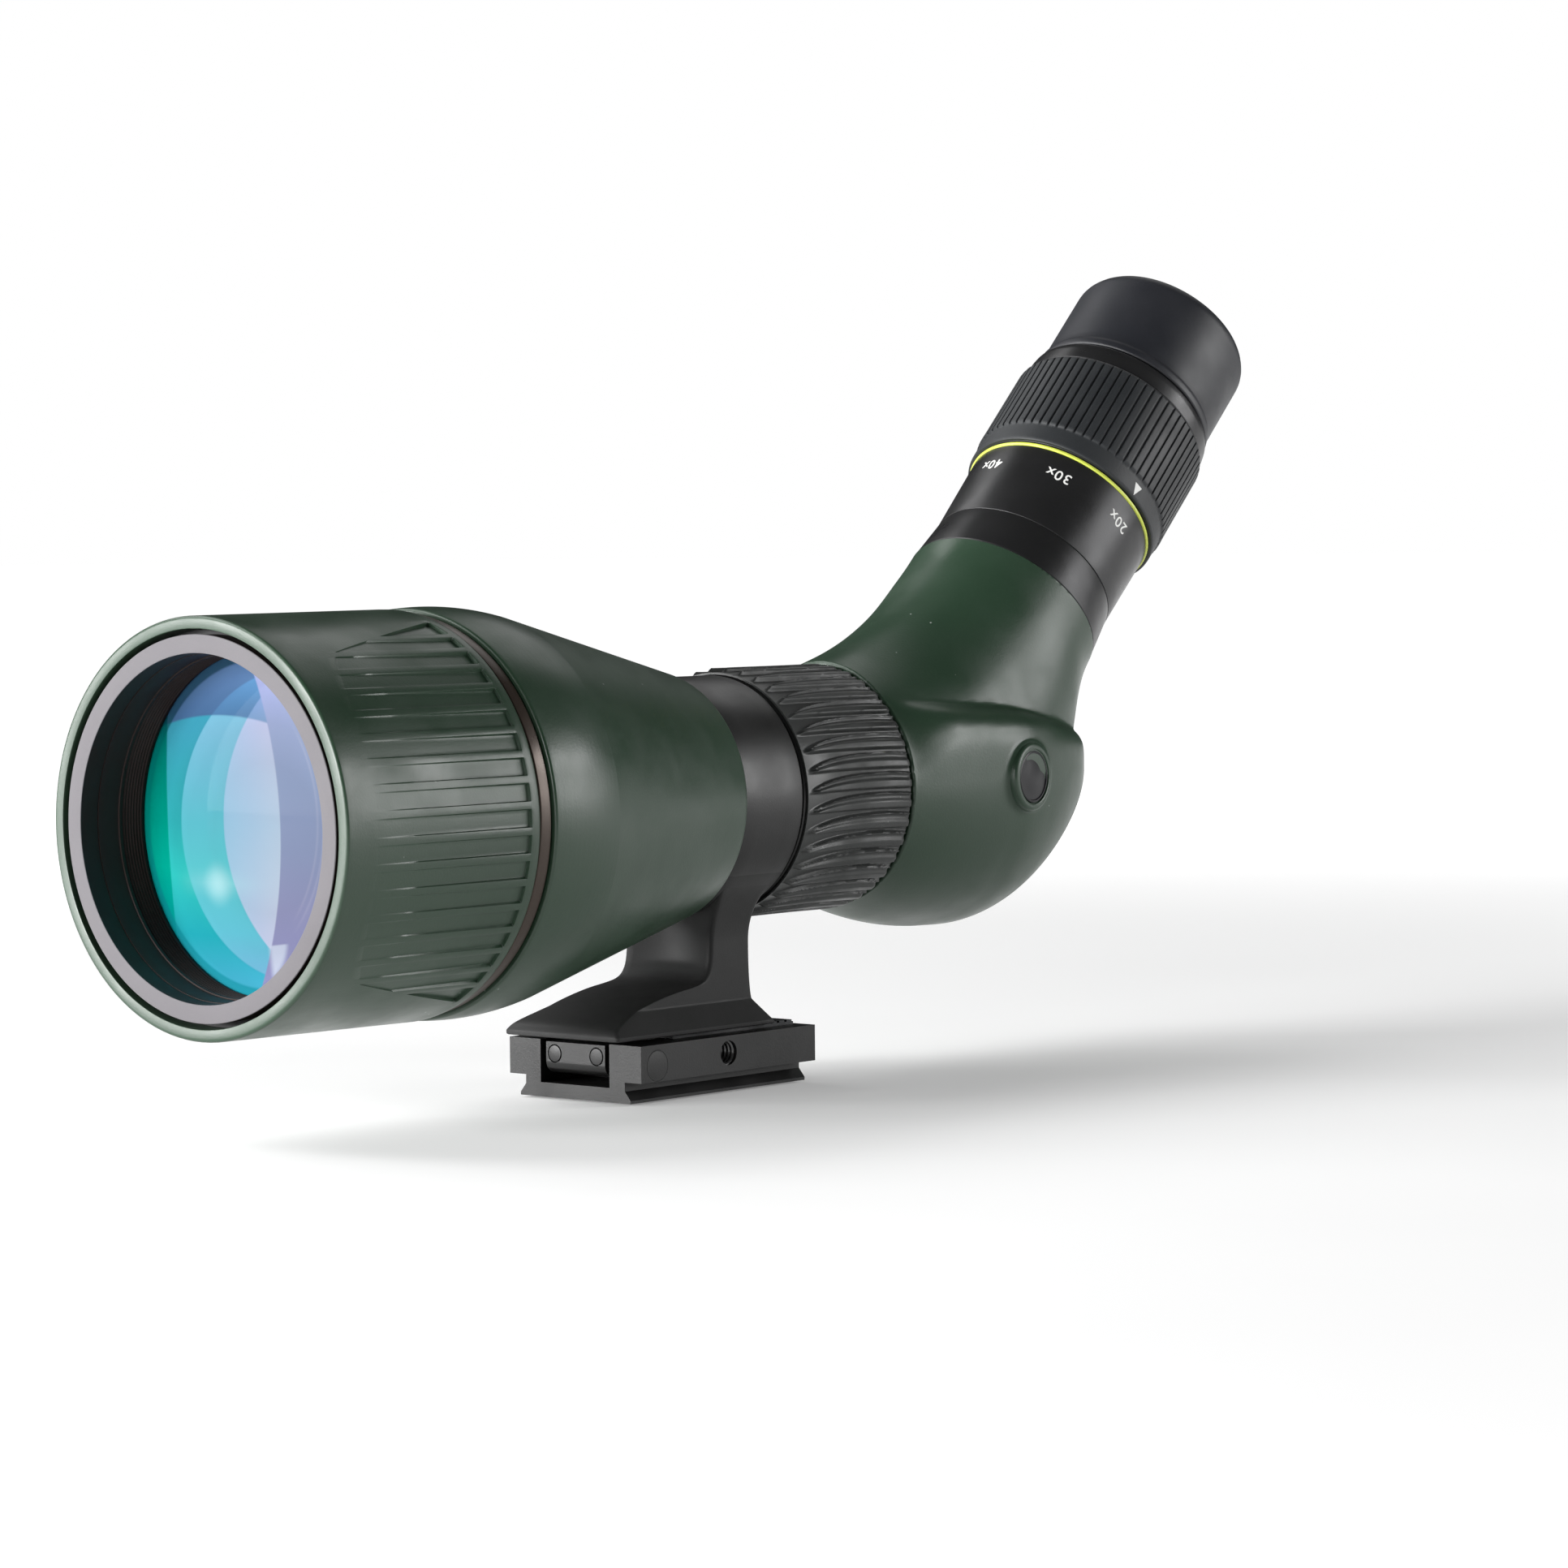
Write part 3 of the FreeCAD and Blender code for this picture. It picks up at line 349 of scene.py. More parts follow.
def painted_lens_reflections(name):
    """Painted reflections on the front lens: the lamps and the surfaces behind are painted into its base colour in
    soft-edged bands where their reflections overlap, with painted glints, painted arcs and a painted streak.
    """
    mat, tree, bsdf = nodes_of(name)

    def add(a, b):
        return maths(tree, "ADD", a, b)

    def sub(a, b):
        return maths(tree, "SUBTRACT", a, b)

    def mul(a, b):
        return maths(tree, "MULTIPLY", a, b)

    def off_centre(cx, cz):
        dx, dz = sub(x, cx), sub(z, cz)
        return maths(tree, "SQRT", add(mul(dx, dx), mul(dz, dz)), 0.0)

    def off_level(value, level):
        return maths(tree, "ABSOLUTE", add(value, level), 0.0)

    def above(value, place, soft):
        """0 below the place, 1 above it."""
        return smooth_range(tree, value, place - soft, place + soft)

    def below(value, place, soft):
        return sub(1.0, above(value, place, soft))

    def bands(*stops):
        """Colours by height on the lens, in millimetres from its middle."""
        return ramp(tree, height, [((at + LENS_RIM) / (2 * LENS_RIM), from_screen(*c, LENS_GAIN)) for at, c in stops])

    def over(bottom, top, factor):
        return blend_colours(tree, factor, bottom, top)

    coord = tree.nodes.new("ShaderNodeTexCoord")
    split = tree.nodes.new("ShaderNodeSeparateXYZ")
    tree.links.new(coord.outputs["Object"], split.inputs[0])
    x = mul(split.outputs["X"], 1000.0)
    z = mul(sub(split.outputs["Z"], AXIS_Z * MM), 1000.0)
    height = maths(tree, "DIVIDE", add(z, LENS_RIM), 2 * LENS_RIM)
    across = maths(tree, "DIVIDE", add(x, LENS_RIM), 2 * LENS_RIM)
    from_left = add(x, 12.0)
    # painted reflection: a darker band above an arc across the top of the lens
    upper = above(add(z, mul(mul(from_left, from_left), 0.006)), 25.9, 0.35)
    # left to fifth hold the painted reflection colours of each band, by height
    left = over(bands((-40, (0, 150, 150)), (-24, (0, 166, 160)), (-11, (2, 176, 154)), (0, (0, 153, 134)),
                      (10, (0, 135, 120)), (22, (0, 112, 106))),
                bands((24, (8, 52, 68)), (38, (14, 62, 82))), upper)
    second = over(bands((-38, (72, 178, 208)), (-27, (40, 178, 192)), (-13, (54, 202, 197)), (0, (51, 174, 180)),
                        (10, (55, 164, 177)), (22, (62, 154, 178))),
                  bands((24, (70, 104, 146)), (38, (88, 118, 160))), upper)
    third = over(bands((-38, (120, 176, 214)), (-26, (104, 200, 220)), (-12, (98, 206, 214)), (0, (98, 196, 211)),
                       (10, (110, 190, 212)), (22, (120, 182, 208))),
                 bands((24, (78, 118, 160)), (36, (92, 140, 186))), upper)
    fourth = over(bands((-30, (196, 206, 236)), (-14, (186, 212, 236)), (0, (172, 204, 230)), (12, (176, 200, 228)),
                        (24, (180, 190, 222))),
                  bands((24, (118, 152, 192)), (34, (126, 150, 200))), upper)
    # painted reflection: the fourth band grows brighter and warmer towards the right
    painted_tint_across = ramp(tree, across, [(0.36, (0.80, 0.98, 1.0)), (0.50, (1.0, 1.0, 1.0)), (0.62, (1.22, 1.06, 1.0))])
    fourth = blend_colours(tree, 1.0, fourth, painted_tint_across, "MULTIPLY")
    fifth = bands((-32, (148, 148, 192)), (-20, (154, 157, 196)), (-6, (148, 160, 195)), (10, (146, 162, 197)),
                  (22, (150, 164, 200)), (34, (150, 158, 200)))
    colour = over(left, second, above(add(x, mul(z, 0.04)), -31.6, 0.3))
    colour = over(colour, third, below(off_centre(10.6, 0.0), 36.7, 0.3))
    colour = over(colour, fourth, below(off_centre(31.0, 1.5), 41.2, 0.3))
    colour = over(colour, fifth, above(off_centre(-62.7, -2.0), 71.9, 0.3))
    # painted reflection tone near the rim
    painted_rim_reflection = bands((-30, (20, 150, 165)), (0, (0, 140, 128)), (20, (0, 100, 98)), (26, (10, 56, 72)))
    colour = over(colour, painted_rim_reflection, mul(above(off_centre(0.0, 0.0), 39.0, 0.4), 0.75))
    # painted highlight arcs, reflections of rings behind the lens
    for radius in (36.0, 34.2):
        line = mul(above(off_centre(-13.5, 1.0), radius, 0.25), below(off_centre(-13.5, 1.0), radius + 0.6, 0.4))
        line = mul(line, above(x, 14.0, 3.0))
        colour = over(colour, from_screen(215, 218, 232, LENS_GAIN), mul(line, 0.16))
    # painted highlight: a horizontal streak and a round glint, reflections of a lamp
    painted_streak = mul(below(off_level(z, 14.2), 1.5, 3.0), below(off_level(x, 12.0), 9.0, 9.0))
    light = from_screen(196, 246, 252, LENS_GAIN)
    colour = over(colour, light, mul(painted_streak, 0.35))
    colour = over(colour, light, mul(below(off_centre(-13.0, -14.4), 3.2, 3.4), 0.75))
    # painted glint near the bottom of the lens
    painted_glint_spot = mul(below(add(z, mul(x, -0.12)), -28.9, 0.3), below(off_centre(-3.0, -25.5), 12.5, 1.0))
    painted_glint_spot = mul(painted_glint_spot, above(x, 3.5, 1.2))
    colour = over(colour, from_screen(212, 222, 240, LENS_GAIN), mul(painted_glint_spot, 0.8))
    # painted light: brighter towards the rim, making up for the rim's shade
    away = maths(tree, "DIVIDE", off_centre(4.0, -3.0), 50.0)
    evened = ramp(tree, away, [(at, grey(value / EVENING)) for at, value in EVENING_STOPS])
    scaled = tree.nodes.new("ShaderNodeVectorMath")
    scaled.operation = "SCALE"
    tree.links.new(colour, scaled.inputs[0])
    tree.links.new(mul(evened, EVENING), scaled.inputs["Scale"])
    tree.links.new(scaled.outputs[0], bsdf.inputs["Base Color"])
    smears = noise(tree, coordinates(tree), 90.0, 4.0)
    tree.links.new(ramp(tree, smears, [(0.35, grey(0.02)), (0.75, grey(0.07))]), bsdf.inputs["Roughness"])
    # real reflection is almost off, as the reflections are painted into the base colour
    bsdf.inputs["Specular IOR Level"].default_value = 0.01
    return mat


GREEN = textured("green_paint", (0.021, 0.045, 0.026), 0.10, 0.36, 1700.0, 0.022, specks=0.6)
INNER_BLACK = textured("inner_black", (0.008, 0.008, 0.009), 0.2, 0.6, 1800.0, 0.01)
BAFFLE = textured("baffle_black", (0.013, 0.005, 0.004), 0.2, 0.55, 1800.0, 0.008, specular=0.25)
TRIM = textured("trim_grey", (0.125, 0.119, 0.127), 0.05, 0.6, 2600.0, 0.010, specular=0.12)
BRONZE = textured("bronze_anodised", (0.050, 0.036, 0.028), 0.10, 0.33, 1800.0, 0.006, metallic=0.5, lathe=0.003)
ANODISED = textured("black_anodised", (0.018, 0.018, 0.018), 0.10, 0.33, 2400.0, 0.010, metallic=0.3, specks=0.3)
EYE_BLACK = textured("eyepiece_black", (0.028, 0.028, 0.029), 0.10, 0.34, 2200.0, 0.014, metallic=0.6,
                     tilt=-SLOPE, specks=0.4)
RUBBER = textured("rubber_black", (0.013, 0.015, 0.017), 0.15, 0.55, 1500.0, 0.03, sheen=0.03, specks=0.25)
EYECUP_RUBBER = textured("eyecup_rubber", (0.012, 0.013, 0.017), 0.12, 0.5, 1800.0, 0.02, specks=0.25)
WORN_RUBBER = textured("worn_rubber", (0.016, 0.018, 0.017), 0.15, 0.50, 1500.0, 0.02, sheen=0.03, specks=0.25,
                       rough_spread=0.18)
CASTING = textured("casting_black", (0.014, 0.014, 0.014), 0.10, 0.40, 2000.0, 0.022, metallic=0.2, specks=0.5)
PLATE = textured("plate_black", (0.006, 0.006, 0.006), 0.10, 0.36, 2000.0, 0.022, metallic=0.1, specks=0.5)
FOOT = textured("foot_black", (0.034, 0.034, 0.034), 0.10, 0.45, 2000.0, 0.022, specular=0.12, specks=0.5)
THREAD = textured("cut_thread", (0.16, 0.16, 0.16), 0.1, 0.3, 1500.0, 0.004, metallic=0.9)
STEEL = textured("steel", (0.45, 0.45, 0.46), 0.08, 0.30, 2400.0, 0.004, metallic=1.0)
LINER = textured("liner_plastic", (0.45, 0.45, 0.43), 0.06, 0.5, 1500.0, 0.01)
LIME = textured("lime", (0.56, 0.63, 0.09), 0.05, 0.28, 1500.0, 0.004)
BADGE = textured("badge_black", (0.006, 0.006, 0.008), 0.1, 0.30, 1500.0, 0.001, specular=0.28, rough_spread=0.03)
PRINT = textured("white_print", (0.75, 0.75, 0.73), 0.05, 0.5, 1500.0, 0.004)
SEAL = textured("seal_rubber", (0.012, 0.012, 0.012), 0.1, 0.6, 1200.0, 0.01)
# the front lens's material, with painted reflections
PAINTED_REFLECTION_GLASS = painted_lens_reflections("coated_glass")
INNER_GLASS = inner_glass("inner_glass")


def finish_piece(obj, body, slot, material, *replaced):
    obj.data.materials.clear()
    obj.data.materials.append(material)
    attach(obj, body)
    if replaced:
        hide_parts(*replaced)
    return obj


# ---- camera
YAW, PITCH, ROLL = 0.7027277, 0.0495752, -0.0100361
LENS_MM = 110.53
CAMERA_SHIFT = Vector((-0.1371414, -0.0106513, -1.1244843))


def make_camera():
    back = Vector((math.sin(YAW) * math.cos(PITCH), -math.cos(YAW) * math.cos(PITCH), math.sin(PITCH)))
    right = Vector((math.cos(YAW), math.sin(YAW), 0))
    up = back.cross(right)
    c, s = math.cos(ROLL), math.sin(ROLL)
    turn = Matrix((c * right + s * up, c * up - s * right, back))
    middle = Vector((0, FRONT_Y * MM, AXIS_Z * MM))
    data = bpy.data.cameras.new("camera")
    data.lens = LENS_MM
    data.sensor_width = 36.0
    data.clip_end = 100
    camera = placed("camera", data)
    turned_back = turn.transposed()
    place = middle - turned_back @ CAMERA_SHIFT
    camera.matrix_world = Matrix.Translation(place) @ turned_back.to_4x4()
    bpy.context.scene.camera = camera


make_camera()


# ---- hood with its grip panels
HOOD_R, HOOD_REAR_R, HOOD_BORE_R, HOOD_LENGTH = 50.0, 50.4, 46.95, 63.6
GRIP_CENTRE, GRIP_PITCH, GRIP_RIBS, RIB_HALF = 4.8, 7.06, 17, 1.0
GRIP_CORNER, GRIP_TIP, GRIP_REAR, GRIP_DEPTH = 50.6, 65.4, 60.6, 0.95


def grip_front(away):
    """Where the recess begins, by the angle from the middle of the grip."""
    away = np.abs(away)
    curve = 9.4 + 8.6 * np.minimum(away / GRIP_CORNER, 1) ** 4
    return curve + np.maximum(away - GRIP_CORNER, 0) * 2.88


def make_hood():
    half = (GRIP_RIBS - 1) / 2
    angles, sunk = [], []
    wall = 0.26
    edges = [(-GRIP_TIP, -half * GRIP_PITCH - RIB_HALF)]
    for k in range(GRIP_RIBS - 1):
        middle = (k - half) * GRIP_PITCH
        edges.append((middle + RIB_HALF, middle + GRIP_PITCH - RIB_HALF))
    edges.append((half * GRIP_PITCH + RIB_HALF, GRIP_TIP))
    for low, high in edges:
        for angle, depth in ((low - 0.12, 0), (low, 0.04), (low + wall, 0.96), (low + wall + 0.12, 1)):
            angles.append(angle)
            sunk.append(depth)
        for angle in np.linspace(low + wall + 0.9, high - wall - 0.9, 3 if high - low < 6 else 7):
            angles.append(angle)
            sunk.append(1)
        for angle, depth in ((high - wall - 0.12, 1), (high - wall, 0.96), (high, 0.04), (high + 0.12, 0)):
            angles.append(angle)
            sunk.append(depth)
    side_angles = np.array(angles) + GRIP_CENTRE
    order = np.argsort(side_angles)
    side_angles, side_sunk = side_angles[order], np.array(sunk, float)[order]
    low_plain = np.linspace(-90, side_angles[0] - 1.5, 10)
    high_plain = np.linspace(side_angles[-1] + 1.5, 90, 8)[:-1]
    right = np.concatenate([low_plain, side_angles, high_plain])
    right_sunk = np.concatenate([0 * low_plain, side_sunk, 0 * high_plain])
    theta = np.concatenate([right, 180 - right])
    depth = np.concatenate([right_sunk, right_sunk])
    order = np.argsort(theta)
    theta, depth = theta[order], depth[order]
    folded = np.where(theta > 90, 180 - theta, theta)
    front = np.minimum(grip_front(folded - GRIP_CENTRE), GRIP_REAR - 1.2)
    # rows: bore, lip, plain front, recess, rear band
    bore = [(HOOD_LENGTH, HOOD_BORE_R), (40, HOOD_BORE_R), (20, HOOD_BORE_R), (8, HOOD_BORE_R), (1.2, HOOD_BORE_R),
            (0.5, HOOD_BORE_R), (0.3, HOOD_BORE_R), (0.07, HOOD_BORE_R + 0.08), (0, HOOD_BORE_R + 0.3)]
    lip = [(0, HOOD_R - 1.0)]
    for a in np.linspace(10, 90, 8):
        lip.append((0.85 - 0.85 * math.cos(math.radians(a)), HOOD_R - 0.85 + 0.85 * math.sin(math.radians(a))))
    columns = len(theta)
    rows = []
    for s, r in bore + lip:
        rows.append((np.full(columns, s), np.full(columns, r)))

    def outer(station):
        return HOOD_R + (HOOD_REAR_R - HOOD_R) * station / HOOD_LENGTH

    for t in np.linspace(0.15, 1, 6):
        s = 0.85 + (front - 0.15 - 0.85) * t
        rows.append((s, outer(s)))
    span = GRIP_REAR - 0.25 - (front + 0.12)
    for t in np.concatenate([[0, 0.01], np.linspace(0.05, 1, 17)]):
        s = front + 0.12 + span * t
        local = GRIP_DEPTH * (s - 8.6) / (GRIP_REAR - 8.6)
        rows.append((s, outer(s) - local * depth))
    for s, share in ((GRIP_REAR - 0.08, 0.92), (GRIP_REAR + 0.05, 0.05), (GRIP_REAR + 0.2, 0)):
        rows.append((np.full(columns, s), outer(s) - GRIP_DEPTH * share * depth))
    for s, r in ((61.6, outer(61.6)), (63.0, HOOD_REAR_R), (63.4, HOOD_REAR_R - 0.1), (63.6, HOOD_REAR_R - 0.35),
                 (63.6, HOOD_REAR_R - 0.9)):
        rows.append((np.full(columns, s), np.full(columns, r)))
    s = np.stack([row[0] for row in rows], 1)
    r = np.stack([row[1] for row in rows], 1)
    obj = loop_surface("hood", barrel_points(s, r, theta[:, None] + 0 * s), 40)
    return finish_piece(obj, "sunshade", "green_paint", GREEN, "sunshade")


make_hood()

# ---- objective end
trim = turned("trim_ring", [(0.62, 41.2), (0.5, 41.32), (0.5, 45.5), (0.7, 45.65), (1.2, 45.5), (6, 45.5), (6, 41.25),
                            (0.9, 41.25)], columns=256, fillet=0.06)
finish_piece(trim, "scope", "trim_grey", TRIM, "front_trim_ring")
trim.data.materials.append(BAFFLE)
for face in trim.data.polygons:
    if face.center.y > (FRONT_Y + 0.75) * MM:
        face.material_index = 1


def make_baffle():
    profile = [(6.05, 43), (6.05, 41.1), (12.4, 41.1), (12.5, 40.75), (13.2, 40.75), (13.4, 41.1)]
    start = 13.7
    while start < 19.8:
        profile += [(start, 41.05), (start + 0.35, 41.5), (start + 0.7, 41.05)]
        start += 0.9
    profile += [(20.4, 41.1), (20.9, 41.3), (21.0, 43)]
    baffle = turned("front_baffle_ring", profile, fillet=0.04, columns=200)
    finish_piece(baffle, "scope", "baffle_black", BAFFLE, "front_baffle")


make_baffle()


def lens_profile(front, rear, rim, front_curve, rear_curve, steps=14):
    """The half outline of a lens, from one pole round its rim to the other."""
    def sag(curve, h):
        return math.copysign(abs(curve) - math.sqrt(curve * curve - h * h), curve)

    heights = [rim * i / steps for i in range(steps + 1)]
    outline = [(front + sag(front_curve, h), h) for h in heights]
    outline += [(rear + sag(rear_curve, h), h) for h in reversed(heights)]
    return outline


front_lens = closed_turned("front_lens", lens_profile(17.9, 30.6, 41.5, 260, -330))
finish_piece(front_lens, "scope", "coated_glass", PAINTED_REFLECTION_GLASS, "objective_front_lens")

ring = turned("rear_ring", [(64.5, 45.5), (64.5, 48.9), (64.9, 49.45), (68.1, 49.5), (68.5, 49.0), (68.5, 45.5)],
              columns=256, fillet=0.18)
finish_piece(ring, "scope", "bronze_anodised", BRONZE, "groove_ring")


def make_barrel():
    profile = [(6.1, 43.0), (6.1, 45.45), (68.9, 45.45), (68.9, 49.9), (69.05, 50.25), (69.5, 50.5)]
    for t in np.linspace(0.05, 1, 14):
        s = 69.5 + (93 - 69.5) * t
        lift = 50.5 * (1 - t) ** 2 + 2 * 51.6 * t * (1 - t) + 49.2 * t * t
        profile.append((s, lift))
    profile += [(158.8, 32.9, 1.2), (160.2, 31.9, 0.8), (160.3, 28.0), (227, 28.0), (227, 27), (236, 27), (236, 25),
                (156.8, 28), (93, 47.0), (80, 47.6), (72, 47.0), (66, 43.0)]
    barrel = turned("barrel", profile, fillet=0.1, columns=256, longest=8)
    finish_piece(barrel, "scope", "green_paint", GREEN, "objective_barrel")
    barrel.data.materials.append(INNER_BLACK)
    axis = Vector((0, 0, AXIS_Z * MM))
    for face in barrel.data.polygons:
        centre = face.center.copy()
        outward = Vector((centre.x, 0, centre.z - axis.z))
        station = centre.y / MM - FRONT_Y
        if face.normal.dot(outward) < 0 or station < 68.7 or station > 160.25:
            face.material_index = 1
    return barrel


make_barrel()


# ---- focus ring
def make_focus_grip():
    """Rubber fins that start as a point at the front and widen to the rear."""
    fins, per_fin, rows = 38, 26, 48
    front, rear = 184.6, 226.9
    theta = np.arange(fins * per_fin) * 360.0 / (fins * per_fin)
    t = np.concatenate([[0, 0.01, 0.03], np.linspace(0.05, 0.95, rows - 6), [0.975, 0.99, 1.0]])
    stations = front + (rear - front) * t
    bow = 0.05 * np.sin(np.pi * t)
    phase = (theta[:, None] / 360 * fins - bow[None, :]) % 1.0
    width = 0.14 + 0.70 * (1 - np.exp(-5.0 * np.clip(t - 0.03, 0, 1))) * (1 - 0.10 * smooth_step(0.8, 1, t))
    low_edge = 0.08 + 0.02 * np.sin(np.pi * t)
    inside = (phase - low_edge[None, :]) / width[None, :]
    step_up = smooth_step(-0.02, 0.10, (phase - low_edge[None, :]))
    step_down = 1 - smooth_step(-0.05, 0.05, phase - low_edge[None, :] - width[None, :])
    hollow = smooth_step(0.42, 0.72, inside) * (1 - smooth_step(0.78, 0.98, inside))
    fin = step_up * step_down * (1 - 0.50 * hollow)
    ends = smooth_step(0.015, 0.07, t) * smooth_step(0, 0.03, 1 - t)
    valley = 31.75 - 0.1 * np.sin(np.pi * t)
    radius = valley[None, :] + 1.35 * fin * ends[None, :]
    low = np.full((len(theta), 1), 31.25)
    s = np.concatenate([np.full((len(theta), 1), front), np.repeat(stations[None, :], len(theta), 0),
                        np.full((len(theta), 1), rear)], 1)
    r = np.concatenate([low, radius, low], 1)
    grip = loop_surface("focus_grip", barrel_points(s, r, theta[:, None] + 0 * s), 60)
    finish_piece(grip, "focus_ring", "rubber_black", WORN_RUBBER, "focus_ring_rubber")


make_focus_grip()
core = turned("focus_sleeve", [(184.3, 28.05), (189.5, 28.05), (189.5, 29.8), (222.5, 29.8), (222.5, 28.05),
                               (227.2, 28.05), (227.2, 31.2), (185.6, 31.2), (184.3, 30.5)], fillet=0.25)
finish_piece(core, "focus_ring", "black_anodised", ANODISED, "focus_ring_core")


# ---- eyepiece
def on_eyepiece_turned(name, profile, body, slot, material, node, fillet=0.15, columns=176):
    obj = turned(name, profile, eyepiece_points, fillet, columns)
    return finish_piece(obj, body, slot, material, node)


on_eyepiece_turned("eyepiece_neck_ring", [(48.5, 21.5), (48.5, 24), (65.3, 24), (65.3, 28.35), (65.8, 28.55),
                                          (78.35, 27.25), (78.5, 27.05), (78.5, 21.5)],
                   "scope", "black_anodised", EYE_BLACK, "eyepiece_mount_ring")
on_eyepiece_turned("eyepiece_tube", [(78.55, 22.5), (78.55, 27.05), (78.7, 27.25), (103.2, 27.65), (103.2, 24.95),
                                     (141, 24.95), (141, 22.5)],
                   "scope", "black_anodised", EYE_BLACK, "eyepiece_barrel", 0.08)
on_eyepiece_turned("bright_ring", [(103.25, 24.95), (103.25, 27.75), (103.5, 28.05), (104.1, 28.05), (104.4, 27.7),
                                   (104.4, 24.95)], "scope", "lime", LIME, "lime_ring", 0.12)
on_eyepiece_turned("zoom_sleeve", [(104.6, 25.0), (104.6, 28.1), (138.4, 28.1), (138.9, 28.3), (142.6, 28.3),
                                   (144.1, 28.05), (144.6, 27.5), (144.6, 26.4), (142.0, 26.4), (142.0, 25.0)],
                   "zoom_ring", "black_anodised", EYE_BLACK, "zoom_ring_core", 0.2)
on_eyepiece_turned("eyecup_skin", [(145.4, 25.9), (145.4, 26.9), (145.9, 27.3), (147.6, 27.2), (148.6, 26.75),
                                   (150.4, 26.6), (173.5, 26.6, 1.5), (175.9, 25.2, 1.2), (176.0, 23.4, 1.0),
                                   (175.2, 21.0, 0.8), (172.5, 20.6), (172.5, 25.9)],
                   "eyecup", "rubber_black", EYECUP_RUBBER, "eyecup_rubber", 0.35)


def make_zoom_grip():
    ribs, per_rib = 68, 14
    low, top = 104.7, 138.2
    theta = np.arange(ribs * per_rib) * 360.0 / (ribs * per_rib)
    stations = np.array([low, low, low + 0.3, low + 0.9, 107.5, 110.0, 110.6, 110.9, 111.3, 111.9, 115, 119, 123, 127,
                         131, 134, 136, 136.8, 137.2, 137.5, 137.9, top, top])
    base = np.array([28.1, 28.75, 29.0, 29.05, 29.05, 29.05, 29.05, 29.05, 29.02, 28.95, 28.9, 28.9, 28.9, 28.9,
                     28.9, 28.9, 28.9, 28.9, 28.95, 29.0, 28.9, 28.7, 28.1])
    raised = np.array([0, 0, 0, 0, 0, 0, 0.02, 0.3, 0.85, 1, 1, 1, 1, 1, 1, 1, 1, 1, 0.85, 0.5, 0.15, 0, 0])
    phase = np.abs((theta / 360 * ribs) % 1.0 - 0.5)
    rib = smooth_step(0.06, 0.16, 0.5 - phase)
    radius = base[None, :] + 0.62 * raised[None, :] * rib[:, None]
    s = np.repeat(stations[None, :], len(theta), 0)
    grip = loop_surface("zoom_grip", eyepiece_points(s, radius, theta[:, None] + 0 * s), 50)
    finish_piece(grip, "zoom_ring", "rubber_black", RUBBER, "zoom_ring_rubber")


make_zoom_grip()


# ---- prism housing
POD_FRONT, POD_STATION, POD_TIP, FLANGE_R = 227.8, 273.0, 325.0, 32.4
POD_HALF_WIDTH, POD_BELOW, POD_LIFT = 37.0, 42.4, 2.0
NECK_HEIGHTS = np.array([-6, 10, 24, 38, 52, 60, 65.3])
NECK_WIDTHS = np.array([32.4, 31.6, 30.6, 29.8, 29.2, 28.8, 28.7])
NECK_DEPTHS = np.array([43.0, 44.0, 41.0, 37.3, 31.4, 29.2, 28.7])
NECK_SHIFTS = np.array([-8.0, 2.0, 5.0, 5.2, 1.6, 0.3, 0.0])


def swelling(station, full, power, root):
    before = np.clip((POD_STATION - station) / (POD_STATION - POD_FRONT), 0, None)
    rising = full - (full - FLANGE_R + 0.2) * before ** 2
    beyond = np.clip((station - POD_STATION) / (POD_TIP - POD_STATION), 0, 0.99999)
    falling = full * (1 - beyond ** power) ** (1 / root)
    return np.where(station < POD_STATION, rising, falling)


def spline(x, xs, ys):
    """A natural cubic spline through the points."""
    n = len(xs)
    h = np.diff(xs)
    system = np.eye(n)
    right = np.zeros(n)
    for i in range(1, n - 1):
        system[i, i - 1], system[i, i], system[i, i + 1] = h[i - 1], 2 * (h[i - 1] + h[i]), h[i]
        right[i] = 6 * ((ys[i + 1] - ys[i]) / h[i] - (ys[i] - ys[i - 1]) / h[i - 1])
    second = np.linalg.solve(system, right)
    k = np.clip(np.searchsorted(xs, x) - 1, 0, n - 2)
    a = (xs[k + 1] - x) / h[k]
    b = (x - xs[k]) / h[k]
    return (a * ys[k] + b * ys[k + 1]
            + ((a ** 3 - a) * second[k] + (b ** 3 - b) * second[k + 1]) * h[k] ** 2 / 6)


POD_TOP_STATIONS = np.array([227.8, 236, 246, 256, 266, 276, 286, 296, 306, 316, 325])
POD_TOPS = np.array([32.2, 25.2, 22.4, 21.2, 20.3, 19.3, 17.8, 15.8, 13.2, 9.0, 0.3])


def pod_top(station):
    """How high the pod rises above its middle: the round flange gives way to a nearly level shoulder."""
    return spline(np.clip(station, POD_FRONT, POD_TIP), POD_TOP_STATIONS, POD_TOPS)


def pod_section(station):
    """The pod's half width, and its reach above and below its middle."""
    return (swelling(station, POD_HALF_WIDTH, 1.6, 2.7), pod_top(station), swelling(station, POD_BELOW, 2.0, 1.35))


def pod_distance(p):
    """Roughly how far points lie outside the pod."""
    station = p[:, 1] - FRONT_Y
    grown = np.clip((station - POD_FRONT) / 40, 0, 1)
    x = p[:, 0]
    z = p[:, 2] - AXIS_Z - POD_LIFT * grown
    inside = np.clip(station, POD_FRONT, POD_TIP - 0.02)
    width, above, below = pod_section(inside)
    height = np.where(z > 0, above, below)
    power = np.where(z > 0, 2 + 3 * smooth_step(POD_FRONT, POD_FRONT + 18, inside), 2.0)
    size = (np.abs(x / width) ** power + np.abs(z / height) ** power) ** (1 / power)
    return (size - 1) * np.minimum(width, height)


